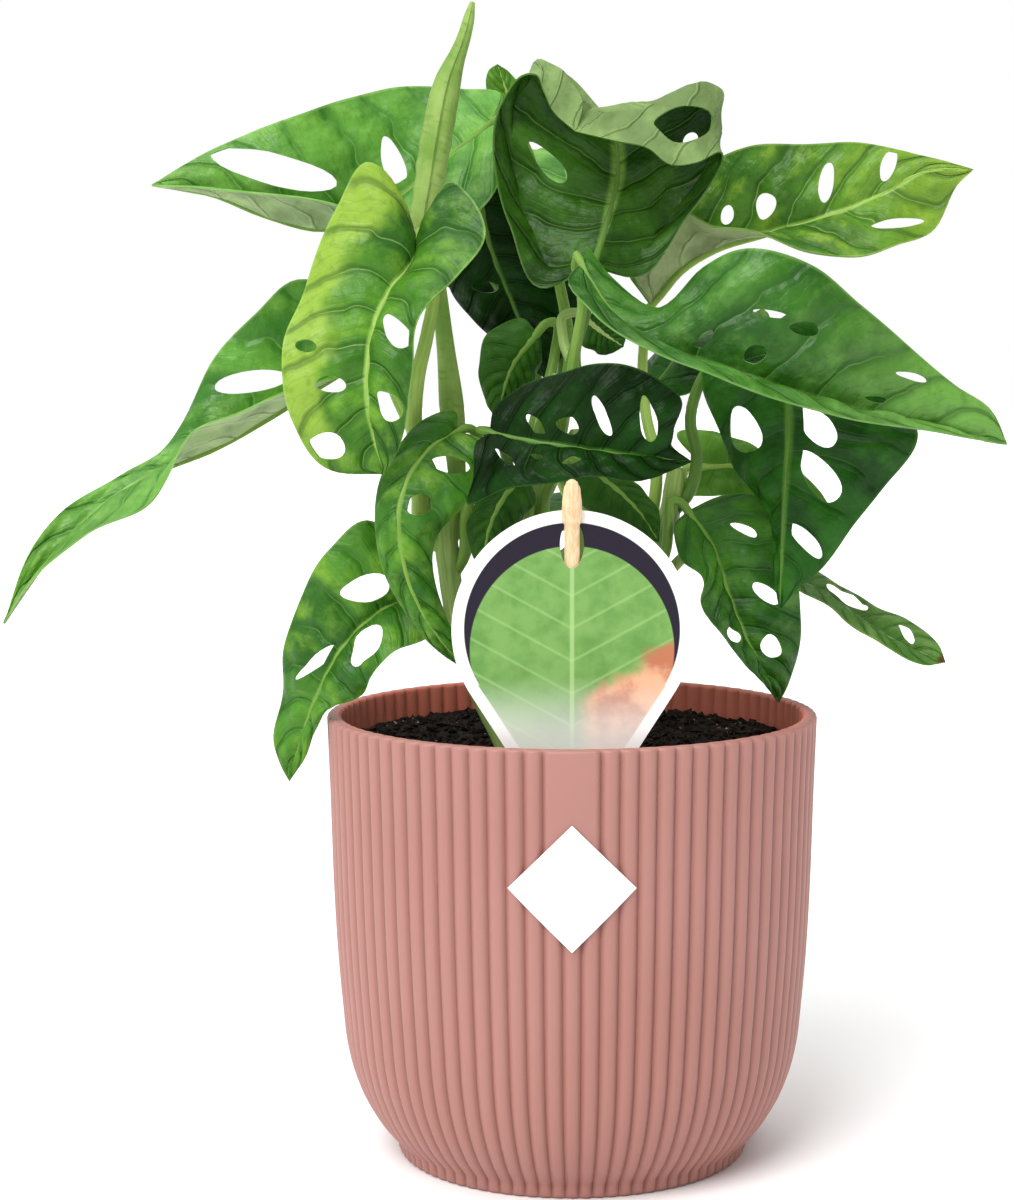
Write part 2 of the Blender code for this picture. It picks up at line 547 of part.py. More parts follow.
def pot():
    """The cup: ribbed outside and inside, with a plain panel at the front of the upper wall."""
    rings = []
    for radius, height in POT_PROFILE[:3]:
        rings.append(pot_ring(radius, height, 0.0 if height == 0 else RIB_DEPTH*0.5))
    for radius, height in POT_PROFILE[3:-1]:
        rings.append(pot_ring(radius, height, RIB_DEPTH))
    top_radius, top = POT_PROFILE[-1]
    fade = PANEL_BOTTOM - PANEL_FADE
    rings.append(pot_ring(pot_radius(fade), fade, RIB_DEPTH))
    rings.append(pot_ring(pot_radius(PANEL_BOTTOM), PANEL_BOTTOM, RIB_DEPTH, panel=True))
    rings.append(pot_ring(top_radius, top - RIM_ROUNDING, RIB_DEPTH, panel=True))
    rings.append(pot_ring(top_radius - RIM_ROUNDING, top, RIB_DEPTH*0.4))
    rings.append(pot_ring(top_radius - WALL + RIM_ROUNDING, top, INNER_RIB_DEPTH*0.4, inward=True))
    rings.append(pot_ring(inner_radius(top), top - RIM_ROUNDING, INNER_RIB_DEPTH, inward=True))
    rings.append(pot_ring(inner_radius(SOIL_TOP - 8), SOIL_TOP - 8, INNER_RIB_DEPTH, inward=True))
    for height in INSIDE_HEIGHTS:
        rings.append(pot_ring(inner_radius(height), height, 0.0))
    rings.append(pot_ring(inner_radius(INSIDE_HEIGHTS[-1]) - FLOOR_INSET, FLOOR_INSIDE, 0.0))
    return lathe("pot", rings, "pot")


# Soil

def soil():
    """The potting mix: it fills the pot to below its rim, with a lumpy top and plain holes."""
    outline = [(inner_radius(height) - SOIL_SLACK, height) for height in reversed(INSIDE_HEIGHTS)]
    outline.insert(0, (outline[0][0] - FLOOR_INSET - 2*STEM_CLEARANCE, FLOOR_INSIDE + SOIL_CLEARANCE))
    rings = [soil_ring(radius, height) for radius, height in outline]
    top_radius = inner_radius(SOIL_TOP) - SOIL_CLEARANCE
    rings.append(soil_ring(top_radius, SOIL_TOP))
    for ring in range(1, SOIL_RINGS):
        radius = top_radius*(1 - ring/SOIL_RINGS)
        points = []
        for x, y, z in soil_ring(radius, SOIL_TOP):
            points.append((x, y, z + soil_bump(x, y)))
        rings.append(points)
    body = lathe("soil", rings, "soil", smooth_angle=60)
    triangulate(body)
    cutters = [stem_tube("cutter_" + stem.name, stem, STEM_CLEARANCE, "soil", 10, 10, HOLE_SHARES)
               for stem in STEMS]
    cutters.append(label_cutter())
    cutters.append(stake_cutter())
    cut(body, cutters)
    return body


def soil_ring(radius, height):
    points = []
    for step in range(SOIL_SIDES):
        angle = 2*pi*step/SOIL_SIDES
        points.append((radius*cos(angle), radius*sin(angle), height))
    return points


def soil_bump(x, y):
    """Lumps of the soil's surface."""
    return SOIL_BUMP*(sin(0.21*x + 0.9)*cos(0.17*y - 0.4) + 0.5*sin(0.43*y + 0.31*x))


# Stems and stalks

def stem_path(stem):
    return [place(*point) for point in stem.points]


def stem_radius(stem, share):
    return stem.low_radius + (stem.top_radius - stem.low_radius)*share


def stem_at(name, height):
    """Centre and radius of a stem at a height, given as seen from the front."""
    stem = next(item for item in STEMS if item.name == name)
    heights = [point[1] for point in stem.points]
    points = [Vector(point) for point in stem.points]
    share = (height - heights[0])/(heights[-1] - heights[0])
    return place(*spline(heights, points, height)), stem_radius(stem, share)


def carried_frame(points, side):
    """Side vectors along a path, turned as little as possible from the first one."""
    sides = [side.normalized()]
    for index in range(1, len(points)):
        before = points[index] - points[index - 1]
        after = points[min(index + 1, len(points) - 1)] - points[index]
        tangent = (before.normalized() + after.normalized()).normalized()
        turned = sides[-1] - tangent*sides[-1].dot(tangent)
        sides.append(turned.normalized())
    return sides


def tube_rings(centres, sides, radii, count):
    """Rings of points round a path, anticlockwise as seen from its end."""
    rings = []
    for index, centre in enumerate(centres):
        ahead = centres[min(index + 1, len(centres) - 1)] - centres[max(index - 1, 0)]
        normal = ahead.normalized().cross(sides[index])
        ring = []
        for step in range(count):
            angle = 2*pi*step/count
            ring.append(centre + (sides[index]*cos(angle) + normal*sin(angle))*radii[index])
        rings.append(ring)
    return rings


def stem_tube(name, stem, extra, colour, rings, sides, share_range=(0.0, 1.0)):
    """A tapering round body along a stem's path, larger than the stem by the extra."""
    path = stem_path(stem)
    knots = lengths(path)
    low, high = share_range
    shares = [low + (high - low)*i/(rings - 1) for i in range(rings)]
    centres = [spline(knots, path, share) for share in shares]
    frames = carried_frame(centres, Vector((1, 0, 0)))
    radii = [stem_radius(stem, share) + extra for share in shares]
    return lathe(name, tube_rings(centres, frames, radii, sides), colour)


def stems():
    for stem in STEMS:
        stem_tube(stem.name, stem, 0.0, "stem", STEM_RINGS, STEM_SIDES)


# Leaf blades

def margin_rail(item, entries, lean, rib_knots, rib_points, neck):
    """Knots and points of one margin, from the neck to the tip."""
    knots = [0.0]
    rail = [neck]
    for share, across, up, *depth in entries:
        if not depth:
            rib_across, rib_up, rib_depth = spline(rib_knots, rib_points, share)
            shown = hypot(across - rib_across, up - rib_up)
            full = item.half_width*spline(WIDTH_KNOTS, WIDTH_SHARES, share)
            depth = [rib_depth + lean*sqrt(max(full**2 - shown**2, 0.0))]
        knots.append(share)
        rail.append(place(across, up, depth[0]))
    knots.append(1.0)
    rail.append(place(*rib_points[-1]))
    return knots, rail


def fold_rail(entries):
    """Knots and points of the line along which one half is folded."""
    return [entry[0] for entry in entries], [place(*entry[1:]) for entry in entries]


def blade_surface(item):
    """A function of (share of the rib, place across from -1 to 1) that gives the blade's middle."""
    rib_points = [Vector(point) for point in item.rib]
    rib_knots = lengths([place(*point) for point in item.rib])

    def rib(share):
        return place(*spline(rib_knots, rib_points, share))

    base = rib(0)
    ahead = rib(NECK_SHARE) - base
    lean = item.lean or (0, 0)
    ends = []
    for entries in (item.right, item.left):
        share, across, up, *depth = entries[1]
        ends.append(place(across, up, depth[0] if depth else spline(rib_knots, rib_points, share).z))
    to_right = ends[0] - ends[1]
    to_right = (to_right - ahead*to_right.dot(ahead)/ahead.length_squared).normalized()
    rails = {1: margin_rail(item, item.right, lean[0], rib_knots, rib_points, base + to_right*NECK_HALF),
             -1: margin_rail(item, item.left, lean[1], rib_knots, rib_points, base - to_right*NECK_HALF)}
    folds = {side: fold_rail(entries) for side, entries in ((1, item.right_fold), (-1, item.left_fold))
             if entries}

    def surface(share, out):
        middle = rib(share)
        if out == 0:
            return middle
        side = 1 if out > 0 else -1
        spread = abs(out)
        edge = spline(*rails[side], share)
        if side in folds:
            crease = spline(*folds[side], share)
            if spread < FOLD_AT:
                return middle.lerp(crease, spread/FOLD_AT)
            return crease.lerp(edge, (spread - FOLD_AT)/(1 - FOLD_AT))
        reach = edge - middle
        along = rib(min(share + 0.01, 1)) - rib(max(share - 0.01, 0))
        normal = reach.cross(along.normalized())*side/item.half_width
        bulge = item.arch*4*spread*(1 - spread)
        ripple = item.wave*sin(2*pi*WAVES*share + side)*spread**2*sin(pi*share)
        return middle + reach*spread + normal*(bulge + ripple)

    return surface, rib, to_right


def hole_outline(hole, points):
    """Points round an oval hole as seen from the front."""
    across, up, length, width, tilt = hole
    turn = radians(tilt)
    outline = []
    for step in range(points):
        angle = 2*pi*step/points
        along = length/2*cos(angle)
        over = width/2*sin(angle)
        outline.append((across + along*cos(turn) - over*sin(turn),
                        up + along*sin(turn) + over*cos(turn)))
    return outline


def find_on_half(surface, side, edge, target, near=None):
    """The share, and the part of the way to the edge, at which one half is seen at the target."""
    best = None
    previous = None
    for step in range(SEARCH_STEPS + 1):
        share = 0.01 + 0.97*step/SEARCH_STEPS
        rib_x, rib_z = seen(surface(share, 0))
        edge_x, edge_z = seen(surface(share, side*edge))
        reach_x = edge_x - rib_x
        reach_z = edge_z - rib_z
        offset_x = target[0] - rib_x
        offset_z = target[1] - rib_z
        miss = reach_x*offset_z - reach_z*offset_x
        out = (reach_x*offset_x + reach_z*offset_z)/(reach_x**2 + reach_z**2)
        if previous and previous[1]*miss <= 0 and out > -0.05:
            mix = previous[1]/(previous[1] - miss) if previous[1] != miss else 0.5
            found = (previous[0] + mix*(share - previous[0]), previous[2] + mix*(out - previous[2]))
            worth = abs(found[0] - near[0]) if near else max(found[1] - 1, 0)
            if best is None or worth < best[0]:
                best = (worth, found)
        previous = (share, miss, out)
    return best[1] if best else None


def holes_on_blade(item, surface, count):
    """Outlines of a blade's holes as lists of (share, signed place across)."""
    outlines = []
    for share, out, long, wide, tilt in item.flap_holes:
        outlines.append(hole_outline((share, out, long, wide, tilt), count))
    halves = ((1, item.right_holes, item.right_fold), (-1, item.left_holes, item.left_fold))
    for side, holes, fold in halves:
        edge = FOLD_AT if fold else 1.0
        for hole in holes:
            centre = find_on_half(surface, side, edge, hole[:2])
            if centre is None:
                continue
            outline = []
            for target in hole_outline(hole, count):
                found = find_on_half(surface, side, edge, target, near=centre) or centre
                share = min(max(found[0], SHARE_RANGE[0]), SHARE_RANGE[1])
                out = min(max(found[1], OUT_RANGE[0]), OUT_RANGE[1])
                outline.append((share, side*out*edge))
            outlines.append(outline)
    return outlines


def pattern_holes(count):
    """Holes of a leaf at the back: a row of ovals on each side of the rib."""
    outlines = []
    for side in (1, -1):
        for share in (0.3, 0.52):
            outline = []
            for step in range(count):
                angle = 2*pi*step/count
                outline.append((share + 0.035*cos(angle) + 0.03*sin(angle),
                                side*(0.5 + 0.27*sin(angle))))
            outlines.append(outline)
    return outlines


def inside(x, y, outline):
    """Whether a point lies inside a closed outline."""
    crossed = False
    for (ax, ay), (bx, by) in zip(outline, outline[1:] + outline[:1]):
        if (ay > y) != (by > y) and x < (bx - ax)*(y - ay)/(by - ay) + ax:
            crossed = not crossed
    return crossed


def too_near(x, y, outline, gap):
    for (ax, ay), (bx, by) in zip(outline, outline[1:] + outline[:1]):
        run_x = bx - ax
        run_y = by - ay
        length = run_x**2 + run_y**2
        t = 0.0 if length == 0 else min(max(((x - ax)*run_x + (y - ay)*run_y)/length, 0), 1)
        if hypot(ax + t*run_x - x, ay + t*run_y - y) < gap:
            return True
    return False


def flat_pattern(surface, rib, holes, rows, columns, spacing):
    """Triangles of the blade laid flat: points as (share, out) and triangles as point numbers."""
    length = sum((rib((i + 1)/40) - rib(i/40)).length for i in range(40))

    def half(share, side):
        crease = surface(share, side*FOLD_AT)
        return max((crease - rib(share)).length + (surface(share, side) - crease).length, 0.4)

    def lay(share, out):
        side = 1 if out > 0 else -1
        return (out*half(share, side), share*length)

    border = [(0.0, -1.0), (0.0, 0.0), (0.0, 1.0)]
    border += [(share, 1.0) for share in rows]
    border += [(1.0, 0.0)]
    border += [(share, -1.0) for share in reversed(rows)]
    middle = [(share, 0.0) for share in rows]
    laid_holes = [[lay(*point) for point in outline] for outline in holes]
    places = border + middle
    edges = [(i, (i + 1) % len(border)) for i in range(len(border))]
    spine = [1] + list(range(len(border), len(border) + len(middle))) + [len(rows) + 3]
    edges += list(zip(spine, spine[1:]))
    for outline in holes:
        start = len(places)
        places += outline
        edges += [(start + i, start + (i + 1) % len(outline)) for i in range(len(outline))]
    for out, folded in columns:
        before = None
        for share in rows:
            x, y = lay(share, out)
            if not folded:
                if half(share, 1 if out > 0 else -1) < 2.5*spacing:
                    continue
                if any(inside(x, y, hole) or too_near(x, y, hole, spacing) for hole in laid_holes):
                    continue
            places.append((share, out))
            if folded and before is not None:
                edges.append((before, len(places) - 1))
            before = len(places) - 1
    flat = [Vector(lay(*point)) for point in places]
    points, _, triangles, origins, _, _ = delaunay_2d_cdt(flat, edges, [], 1, 1e-6)
    shares = []
    for index, point in enumerate(points):
        if origins[index]:
            shares.append(places[origins[index][0]])
        else:
            share = min(point.y/length, 1.0)
            side = 1 if point.x > 0 else -1
            shares.append((share, point.x/half(share, side)))
    kept = []
    for a, b, c in triangles:
        centre = (points[a] + points[b] + points[c])/3
        if any(inside(centre.x, centre.y, hole) for hole in laid_holes):
            continue
        turn = (points[b] - points[a]).cross(points[c] - points[a])
        kept.append((a, b, c) if turn > 0 else (a, c, b))
    return shares, kept


def outer_edges(triangles):
    """Edges that only one triangle has, in that triangle's direction."""
    directed = set()
    for a, b, c in triangles:
        directed.update(((a, b), (b, c), (c, a)))
    return [edge for edge in directed if (edge[1], edge[0]) not in directed]


def even_offsets(points, triangles, distance):
    """Offsets of a sheet's points to its top, longer at a crease so that its thickness is even."""
    around = [[] for _ in points]
    for triangle in triangles:
        a, b, c = (points[corner] for corner in triangle)
        normal = (b - a).cross(c - a).normalized()
        for corner, first, second in zip(triangle, (b - a, c - b, a - c), (c - a, a - b, b - c)):
            around[corner].append(normal*first.angle(second, 0.0))
    offsets = []
    for normals in around:
        mean = sum(normals, Vector()).normalized()
        total = sum(normal.length for normal in normals)
        facing = sum(normal.dot(mean) for normal in normals)/total
        offsets.append(mean*distance/max(facing, LEAST_FACING))
    return offsets


def leaf_solid(item):
    """Blade and stalk of one leaf in one closed body."""
    surface, rib, to_right = blade_surface(item)
    holes = holes_on_blade(item, surface, HOLE_POINTS) if item.lean else pattern_holes(HOLE_POINTS)
    columns = []
    for side, fold in ((1, item.right_fold), (-1, item.left_fold)):
        if fold:
            columns += [(side*FOLD_AT, True), (side*BESIDE_FOLD, False)]
        else:
            columns.append((side*PLAIN_COLUMN, False))
    shares, triangles = flat_pattern(surface, rib, holes, ROWS, columns, SPACING)
    middle = [surface(*share) for share in shares]
    offsets = even_offsets(middle, triangles, BLADE/2)
    count = len(middle)
    points = [point + offset for point, offset in zip(middle, offsets)]
    points += [point - offset for point, offset in zip(middle, offsets)]
    faces = list(triangles)
    faces += [(a + count, c + count, b + count) for a, b, c in triangles]
    neck = {}
    for index, share in enumerate(shares):
        if share[0] < 1e-6:
            neck[round(share[1])] = index
    for a, b in outer_edges(triangles):
        if a in neck.values() and b in neck.values():
            continue
        faces.append((a, a + count, b + count, b))
    loop = [neck[-1], neck[0], neck[1], neck[1] + count, neck[0] + count, neck[-1] + count]
    add_stalk(item, points, faces, loop, rib, to_right)
    return solid(item.name, points, faces, "leaf_" + item.colour, smooth_angle=60)


def stalk_path(item, rib):
    """Points of a stalk from the blade down to its foot beside the stem."""
    base = rib(0)
    behind = (rib(0) - rib(NECK_SHARE)).normalized()
    path = [base, base + behind*NECK_LEAD]
    path += [place(*point) for point in item.stalk]
    stem, height, direction = item.foot
    out = Vector((cos(radians(direction)), sin(radians(direction)), 0))
    centre, radius = stem_at(stem, height)
    higher, radius_higher = stem_at(stem, height + FOOT_RUN)
    path.append(higher + out*(radius_higher + item.foot_radius + FOOT_APPROACH))
    path.append(centre + out*(radius + item.foot_radius + FOOT_GAP))
    return path


def add_stalk(item, points, faces, loop, rib, to_right):
    """Extend a blade's neck into its stalk."""
    path = stalk_path(item, rib)
    knots = lengths(path)
    first = STALK_START/sum((b - a).length for a, b in zip(path, path[1:]))
    shares = [first + (1 - first)*(i/(STALK_RINGS - 1))**1.25 for i in range(STALK_RINGS)]
    centres = [spline(knots, path, share) for share in shares]
    sides = carried_frame([path[0]] + centres, to_right)[1:]
    radii = [STALK_RADIUS + (item.foot_radius - STALK_RADIUS)*share for share in shares]
    previous = loop
    for ring in stalk_rings(centres, sides, radii):
        start = len(points)
        points.extend(ring)
        current = list(range(start, start + STALK_SIDES))
        for i in range(STALK_SIDES):
            j = (i + 1) % STALK_SIDES
            faces.append((previous[j], previous[i], current[i], current[j]))
        previous = current
    faces.append(tuple(reversed(previous)))


def stalk_rings(centres, sides, radii):
    """Rings in the order of the blade's neck: left, middle and right above, then back below."""
    rings = []
    for index, centre in enumerate(centres):
        back = centres[min(index + 1, len(centres) - 1)] - centres[max(index - 1, 0)]
        normal = back.normalized().cross(sides[index])
        ring = []
        for angle in (150, 90, 30, -30, -90, -150):
            turn = radians(angle)
            ring.append(centre + (sides[index]*cos(turn) + normal*sin(turn))*radii[index])
        rings.append(ring)
    return rings


# Rolled young leaf

SPEAR_PATH = [(-28.5, 336.5, -4), (-30.5, 328, -5), (-35.5, 314, -6), (-38.5, 300, -7), (-41, 285, -8),
              (-43, 271, -9), (-39, 256, -7), (-37, 240, -7), (-35.2, 222, -7), (-34.2, 209, -6.5),
              (-33.6, 200, -6.3)]
SPEAR_RADII = [(0.0, 0.7), (0.03, 1.6), (0.06, 1.9), (0.1, 2.4), (0.16, 3.9), (0.26, 4.5), (0.38, 4.1),
               (0.46, 3.2), (0.55, 2.3), (0.66, 2.6), (0.8, 3.6), (0.88, 2.8), (1.0, 2.2)]
SPEAR_FOOT = ("stem_left", 186, 60)
SPEAR_FOOT_RADIUS = 2.2
SPEAR_OVERLAP = 0.16
SPEAR_RINGS = 22
SPEAR_SIDES = 8


def spear():
    """The rolled leaf that stands up, with its stalk: its section steps where the roll overlaps."""
    path = [place(*point) for point in SPEAR_PATH]
    stem, height, direction = SPEAR_FOOT
    out = Vector((cos(radians(direction)), sin(radians(direction)), 0))
    centre, radius = stem_at(stem, height)
    path.append(centre + out*(radius + SPEAR_FOOT_RADIUS + FOOT_GAP))
    knots = lengths(path)
    shares = [i/(SPEAR_RINGS - 1) for i in range(SPEAR_RINGS)]
    centres = [spline(knots, path, share) for share in shares]
    sides = carried_frame(centres, Vector((1, 0, 0)))
    radius_knots = [item[0] for item in SPEAR_RADII]
    radius_values = [item[1] for item in SPEAR_RADII]
    body = []
    for index, centre in enumerate(centres):
        ahead = centres[min(index + 1, SPEAR_RINGS - 1)] - centres[max(index - 1, 0)]
        normal = ahead.normalized().cross(sides[index])
        size = spline(radius_knots, radius_values, shares[index])
        roll = SPEAR_OVERLAP if shares[index] < 0.5 else 0.0
        ring = []
        for step in range(SPEAR_SIDES):
            angle = 2*pi*step/SPEAR_SIDES
            reach = size*(1 + roll*(step/SPEAR_SIDES - 0.5))
            ring.append(centre + sides[index]*reach*cos(angle) + normal*reach*sin(angle))
        body.append(ring)
    return lathe("spear", body, "leaf_pale", smooth_angle=40)


# Label, stake and sticker

def label_outline():
    """Outline of the label: a round head that narrows to a foot in the soil."""
    head = LABEL_TOP - LABEL_HALF_WIDTH
    outline = []
    for degrees in range(-30, 211, 10):
        turn = radians(degrees)
        outline.append((LABEL_HALF_WIDTH*cos(turn), head + LABEL_HALF_WIDTH*sin(turn)))
    shoulder, shoulder_height = LABEL_SHOULDER
    foot, bottom = LABEL_FOOT
    outline += [(-shoulder, shoulder_height), (-foot, bottom), (foot, bottom), (shoulder, shoulder_height)]
    return outline


def plate(name, outline, front, thickness, colour):
    """An upright flat plate with the given outline, its front face towards -Y."""
    points = [(x, front, z) for x, z in outline]
    points += [(x, front + thickness, z) for x, z in outline]
    count = len(outline)
    faces = [tuple(range(count)), tuple(range(2*count - 1, count - 1, -1))]
    for i in range(count):
        j = (i + 1) % count
        faces.append((j, i, i + count, j + count))
    return solid(name, points, faces, colour)


def label():
    """The card on its own plate, with the oval hole for the peg."""
    body = plate("label", label_outline(), LABEL_DEPTH - LABEL_THICKNESS/2, LABEL_THICKNESS, "label")
    oval = []
    for step in range(LABEL_HOLE_POINTS):
        angle = 2*pi*step/LABEL_HOLE_POINTS
        oval.append((LABEL_HOLE_WIDTH/2*cos(angle), LABEL_HOLE_HEIGHT + LABEL_HOLE_LENGTH/2*sin(angle)))
    reach = 4*LABEL_THICKNESS
    cut(body, [plate("cutter_label_hole", oval, LABEL_DEPTH - reach, 2*reach, "label")])
    return body


def label_cutter():
    """The slot in the soil for the label's foot."""
    gap = STEM_CLEARANCE
    half = []
    for width, height in (LABEL_SHOULDER, (LABEL_FOOT[0], LABEL_FOOT[1] - gap)):
        half.append((width + gap, height))
    half.insert(0, LABEL_SLOT_TOP)
    outline = [(-width, height) for width, height in half] + list(reversed(half))
    return plate("cutter_label", outline, LABEL_DEPTH - LABEL_THICKNESS/2 - gap,
                 LABEL_THICKNESS + 2*gap, "soil")


def stake_rings(name, stations, extra, colour):
    """A flat peg with a section at each of the stations: (height, half width, half depth)."""
    ahead = Vector((0, -STAKE_SLOPE, 1)).normalized()
    over = Vector((0, ahead.z, -ahead.y))
    rings = []
    for height, half_width, half_depth in stations:
        centre = Vector((0, LABEL_DEPTH + STAKE_SLOPE*(LABEL_HOLE_HEIGHT - height), height))
        ring = []
        for step in range(STAKE_SIDES):
            angle = 2*pi*step/STAKE_SIDES
            ring.append(centre + Vector((1, 0, 0))*(half_width + extra)*cos(angle)
                        + over*(half_depth + extra)*sin(angle))
        rings.append(ring)
    return lathe(name, rings, colour, smooth_angle=50)


def stake():
    """The wooden peg: its notch sits in the label's hole and its foot is in the soil behind."""
    return stake_rings("stake", STAKE_STATIONS, 0.0, "stake")


def stake_cutter():
    """The stake's hole in the soil."""
    low, high = STAKE_STATIONS[:2]
    deeper = (low[0] - STEM_CLEARANCE, *low[1:])
    return stake_rings("cutter_stake", [deeper, (high[0], *low[1:])], STEM_CLEARANCE, "soil")


def sticker():
    """The square sticker that stands on its corner and wraps the front of the pot."""
    half = STICKER_HALF_DIAGONAL
    outer = []
    inner = []
    count = STICKER_STEPS + 1
    for row in range(count):
        for column in range(count):
            first = row/STICKER_STEPS
            second = column/STICKER_STEPS
            across = half*(first - second)
            height = STICKER_HEIGHT + half*(first + second - 1)
            radius = pot_radius(height) + STICKER_GAP
            angle = -pi/2 + across/radius
            inner.append((radius*cos(angle), radius*sin(angle), height))
            radius += STICKER_THICKNESS
            outer.append((radius*cos(angle), radius*sin(angle), height))
    total = count*count
    points = outer + inner
    faces = []
    for row in range(STICKER_STEPS):
        for column in range(STICKER_STEPS):
            a = row*count + column
            b = a + 1
            c = b + count
            d = a + count
            faces.append((a, d, c, b))
            faces.append((a + total, b + total, c + total, d + total))
    rim = list(range(count))
    rim += [row*count + STICKER_STEPS for row in range(1, count)]
    rim += [STICKER_STEPS*count + column for column in range(STICKER_STEPS - 1, -1, -1)]
    rim += [row*count for row in range(STICKER_STEPS - 1, 0, -1)]
    for a, b in zip(rim, rim[1:] + rim[:1]):
        faces.append((a, b, b + total, a + total))
    return solid("sticker", points, faces, "sticker", smooth_angle=40)


def main():
    for existing in list(bpy.data.objects):
        bpy.data.objects.remove(existing)
    pot()
    soil()
    stems()
    spear()
    for item in LEAVES:
        leaf_solid(item)
    label()
    stake()
    sticker()


# Leaves at the back, which the photograph hides

back_leaf("leaf_rear_high", "mid",
          [(3, 262, 62), (0, 282, 74), (-2, 294, 92), (-2, 286, 112), (-1, 262, 124)],
          23, 6, [(2, 250, 57), (1, 236, 50)], ("stem_back", 204, 60))
back_leaf("leaf_rear_left", "dark",
          [(-22, 254, 74), (-34, 270, 84), (-49, 277, 96), (-62, 270, 110), (-70, 253, 120)],
          20, 6, [(-17, 244, 68), (-9, 226, 56)], ("stem_back", 186, 110))
back_leaf("leaf_rear_right", "dark",
          [(24, 226, 54), (36, 240, 64), (53, 243, 78), (70, 234, 92), (82, 215, 100)],
          20, 6, [(17, 218, 50)], ("stem_back", 182, 10))
back_leaf("leaf_rear_low", "mid",
          [(4, 186, 60), (5, 194, 72), (6, 188, 92), (7, 168, 108), (8, 146, 114)],
          20, 5, [(3, 176, 52)], ("stem_back", 154, 80))

main()
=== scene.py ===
"""The looks of a Swiss cheese vine (monstera adansonii) in a ribbed plastic pot.

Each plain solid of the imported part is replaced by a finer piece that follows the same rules. A leaf's
stalk and the soil's loose grains are pieces of their own. Sizes are in millimetres and are turned
into metres by MM. A point (across, up, depth) is where it is seen from the front in the upright plane
through the pot's axis, and how far behind that plane it lies.
"""

from bisect import bisect_right
from collections import namedtuple
from functools import cache
from math import cos, exp, hypot, pi, radians, sin, sqrt
from random import Random

import bpy
from mathutils import Matrix, Vector, noise
from mathutils.geometry import delaunay_2d_cdt


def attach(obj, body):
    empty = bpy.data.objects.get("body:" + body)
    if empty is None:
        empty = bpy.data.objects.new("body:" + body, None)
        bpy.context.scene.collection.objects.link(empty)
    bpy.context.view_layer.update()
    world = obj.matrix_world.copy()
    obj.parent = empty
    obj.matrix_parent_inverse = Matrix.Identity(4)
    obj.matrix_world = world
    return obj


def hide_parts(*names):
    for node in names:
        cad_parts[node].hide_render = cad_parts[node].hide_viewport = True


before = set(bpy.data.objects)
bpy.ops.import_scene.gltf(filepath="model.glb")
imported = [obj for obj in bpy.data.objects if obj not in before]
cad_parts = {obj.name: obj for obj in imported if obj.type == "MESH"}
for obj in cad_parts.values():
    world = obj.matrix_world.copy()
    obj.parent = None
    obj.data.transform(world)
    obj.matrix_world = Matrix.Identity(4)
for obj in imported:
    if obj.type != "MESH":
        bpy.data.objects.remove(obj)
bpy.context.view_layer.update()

MM = 0.001
JOIN_TOLERANCE = 1e-6
RIGHTWARD = Vector((1, 0, 0))
FORWARD = Vector((0, -1, 0))

# Where the plant is seen from, and the photograph's frame
EYE_DISTANCE = 784.0
EYE_HEIGHT = 249.0
EYE_PITCH = 6.0
PHOTO_WIDTH = 1014
PHOTO_HEIGHT = 1200
FOCAL_PIXELS = 2685.0
CENTRE_ACROSS = 572.0
CENTRE_DOWN = 591.0
SENSOR = 36.0

# Floor and light. The surround dims from left to right above SURROUND_RISE and is brighter overhead.
FLOOR_REACH = 6000.0
KEY_DIRECTION = (0.42, 0.8, -1.0)
KEY_STRENGTH = 2.2
KEY_SPREAD = 32.0
SURROUND_RISE = (0.12, 0.4)
SURROUND_TURN = (-0.8, 0.8)
LEFT_STRENGTH = 0.7
RIGHT_STRENGTH = 0.1
SURROUND_TOP = (0.55, 0.95)
TOP_STRENGTH = 1.4

# Pot. The profile is (radius, height) over the ribs. The foot is (radius, height, share of the ribs'
# depth). A ring step is how far apart the rings are below a height.
POT_PROFILE = [(49.5, 0.0), (51.8, 1.6), (52.0, 4.2), (55.4, 7.6), (60.4, 14.8), (64.2, 23.0),
               (66.9, 33.5), (68.2, 45.5), (72.0, 131.0)]
POT_FOOT = [(49.0, 0.0, 0.0), (50.6, 0.15, 0.1), (51.5, 0.7, 0.45), (51.9, 1.6, 0.7), (52.1, 3.0, 0.85),
            (52.4, 4.2, 0.9), (53.4, 5.4, 0.95), (54.4, 6.5, 1.0)]
FOOT_TOP = 7.6
RING_STEPS = ((20.0, 1.3), (48.0, 2.6), (131.0, 8.0))
TOP_RING = 110.0
RIB_COUNT = 84
RIB_DEPTH = 0.9
RIB_STEPS = 8
FLUTE_GAIN = 1.5
FLUTE_POWER = 2.2
PANEL_HALF_RIBS = 3
PANEL_MARGIN = 0.25
PANEL_BOTTOM = 86.0
PANEL_FADE = 4.0
PANEL_STEPS = 4
WALL = 4.3
RIM_ROUNDING = 1.1
RIM_STEPS = 5
RIM_RIB_LOSS = 0.5
INNER_RIB_DEPTH = 0.6
INNER_RIB_START = 0.4
INNER_RIB_DROP = 8.0
INSIDE_HEIGHTS = (45.5, 18.0)
FLOOR_INSIDE = 6.0
FLOOR_INSET = 10.0
POT_CREASE = 48

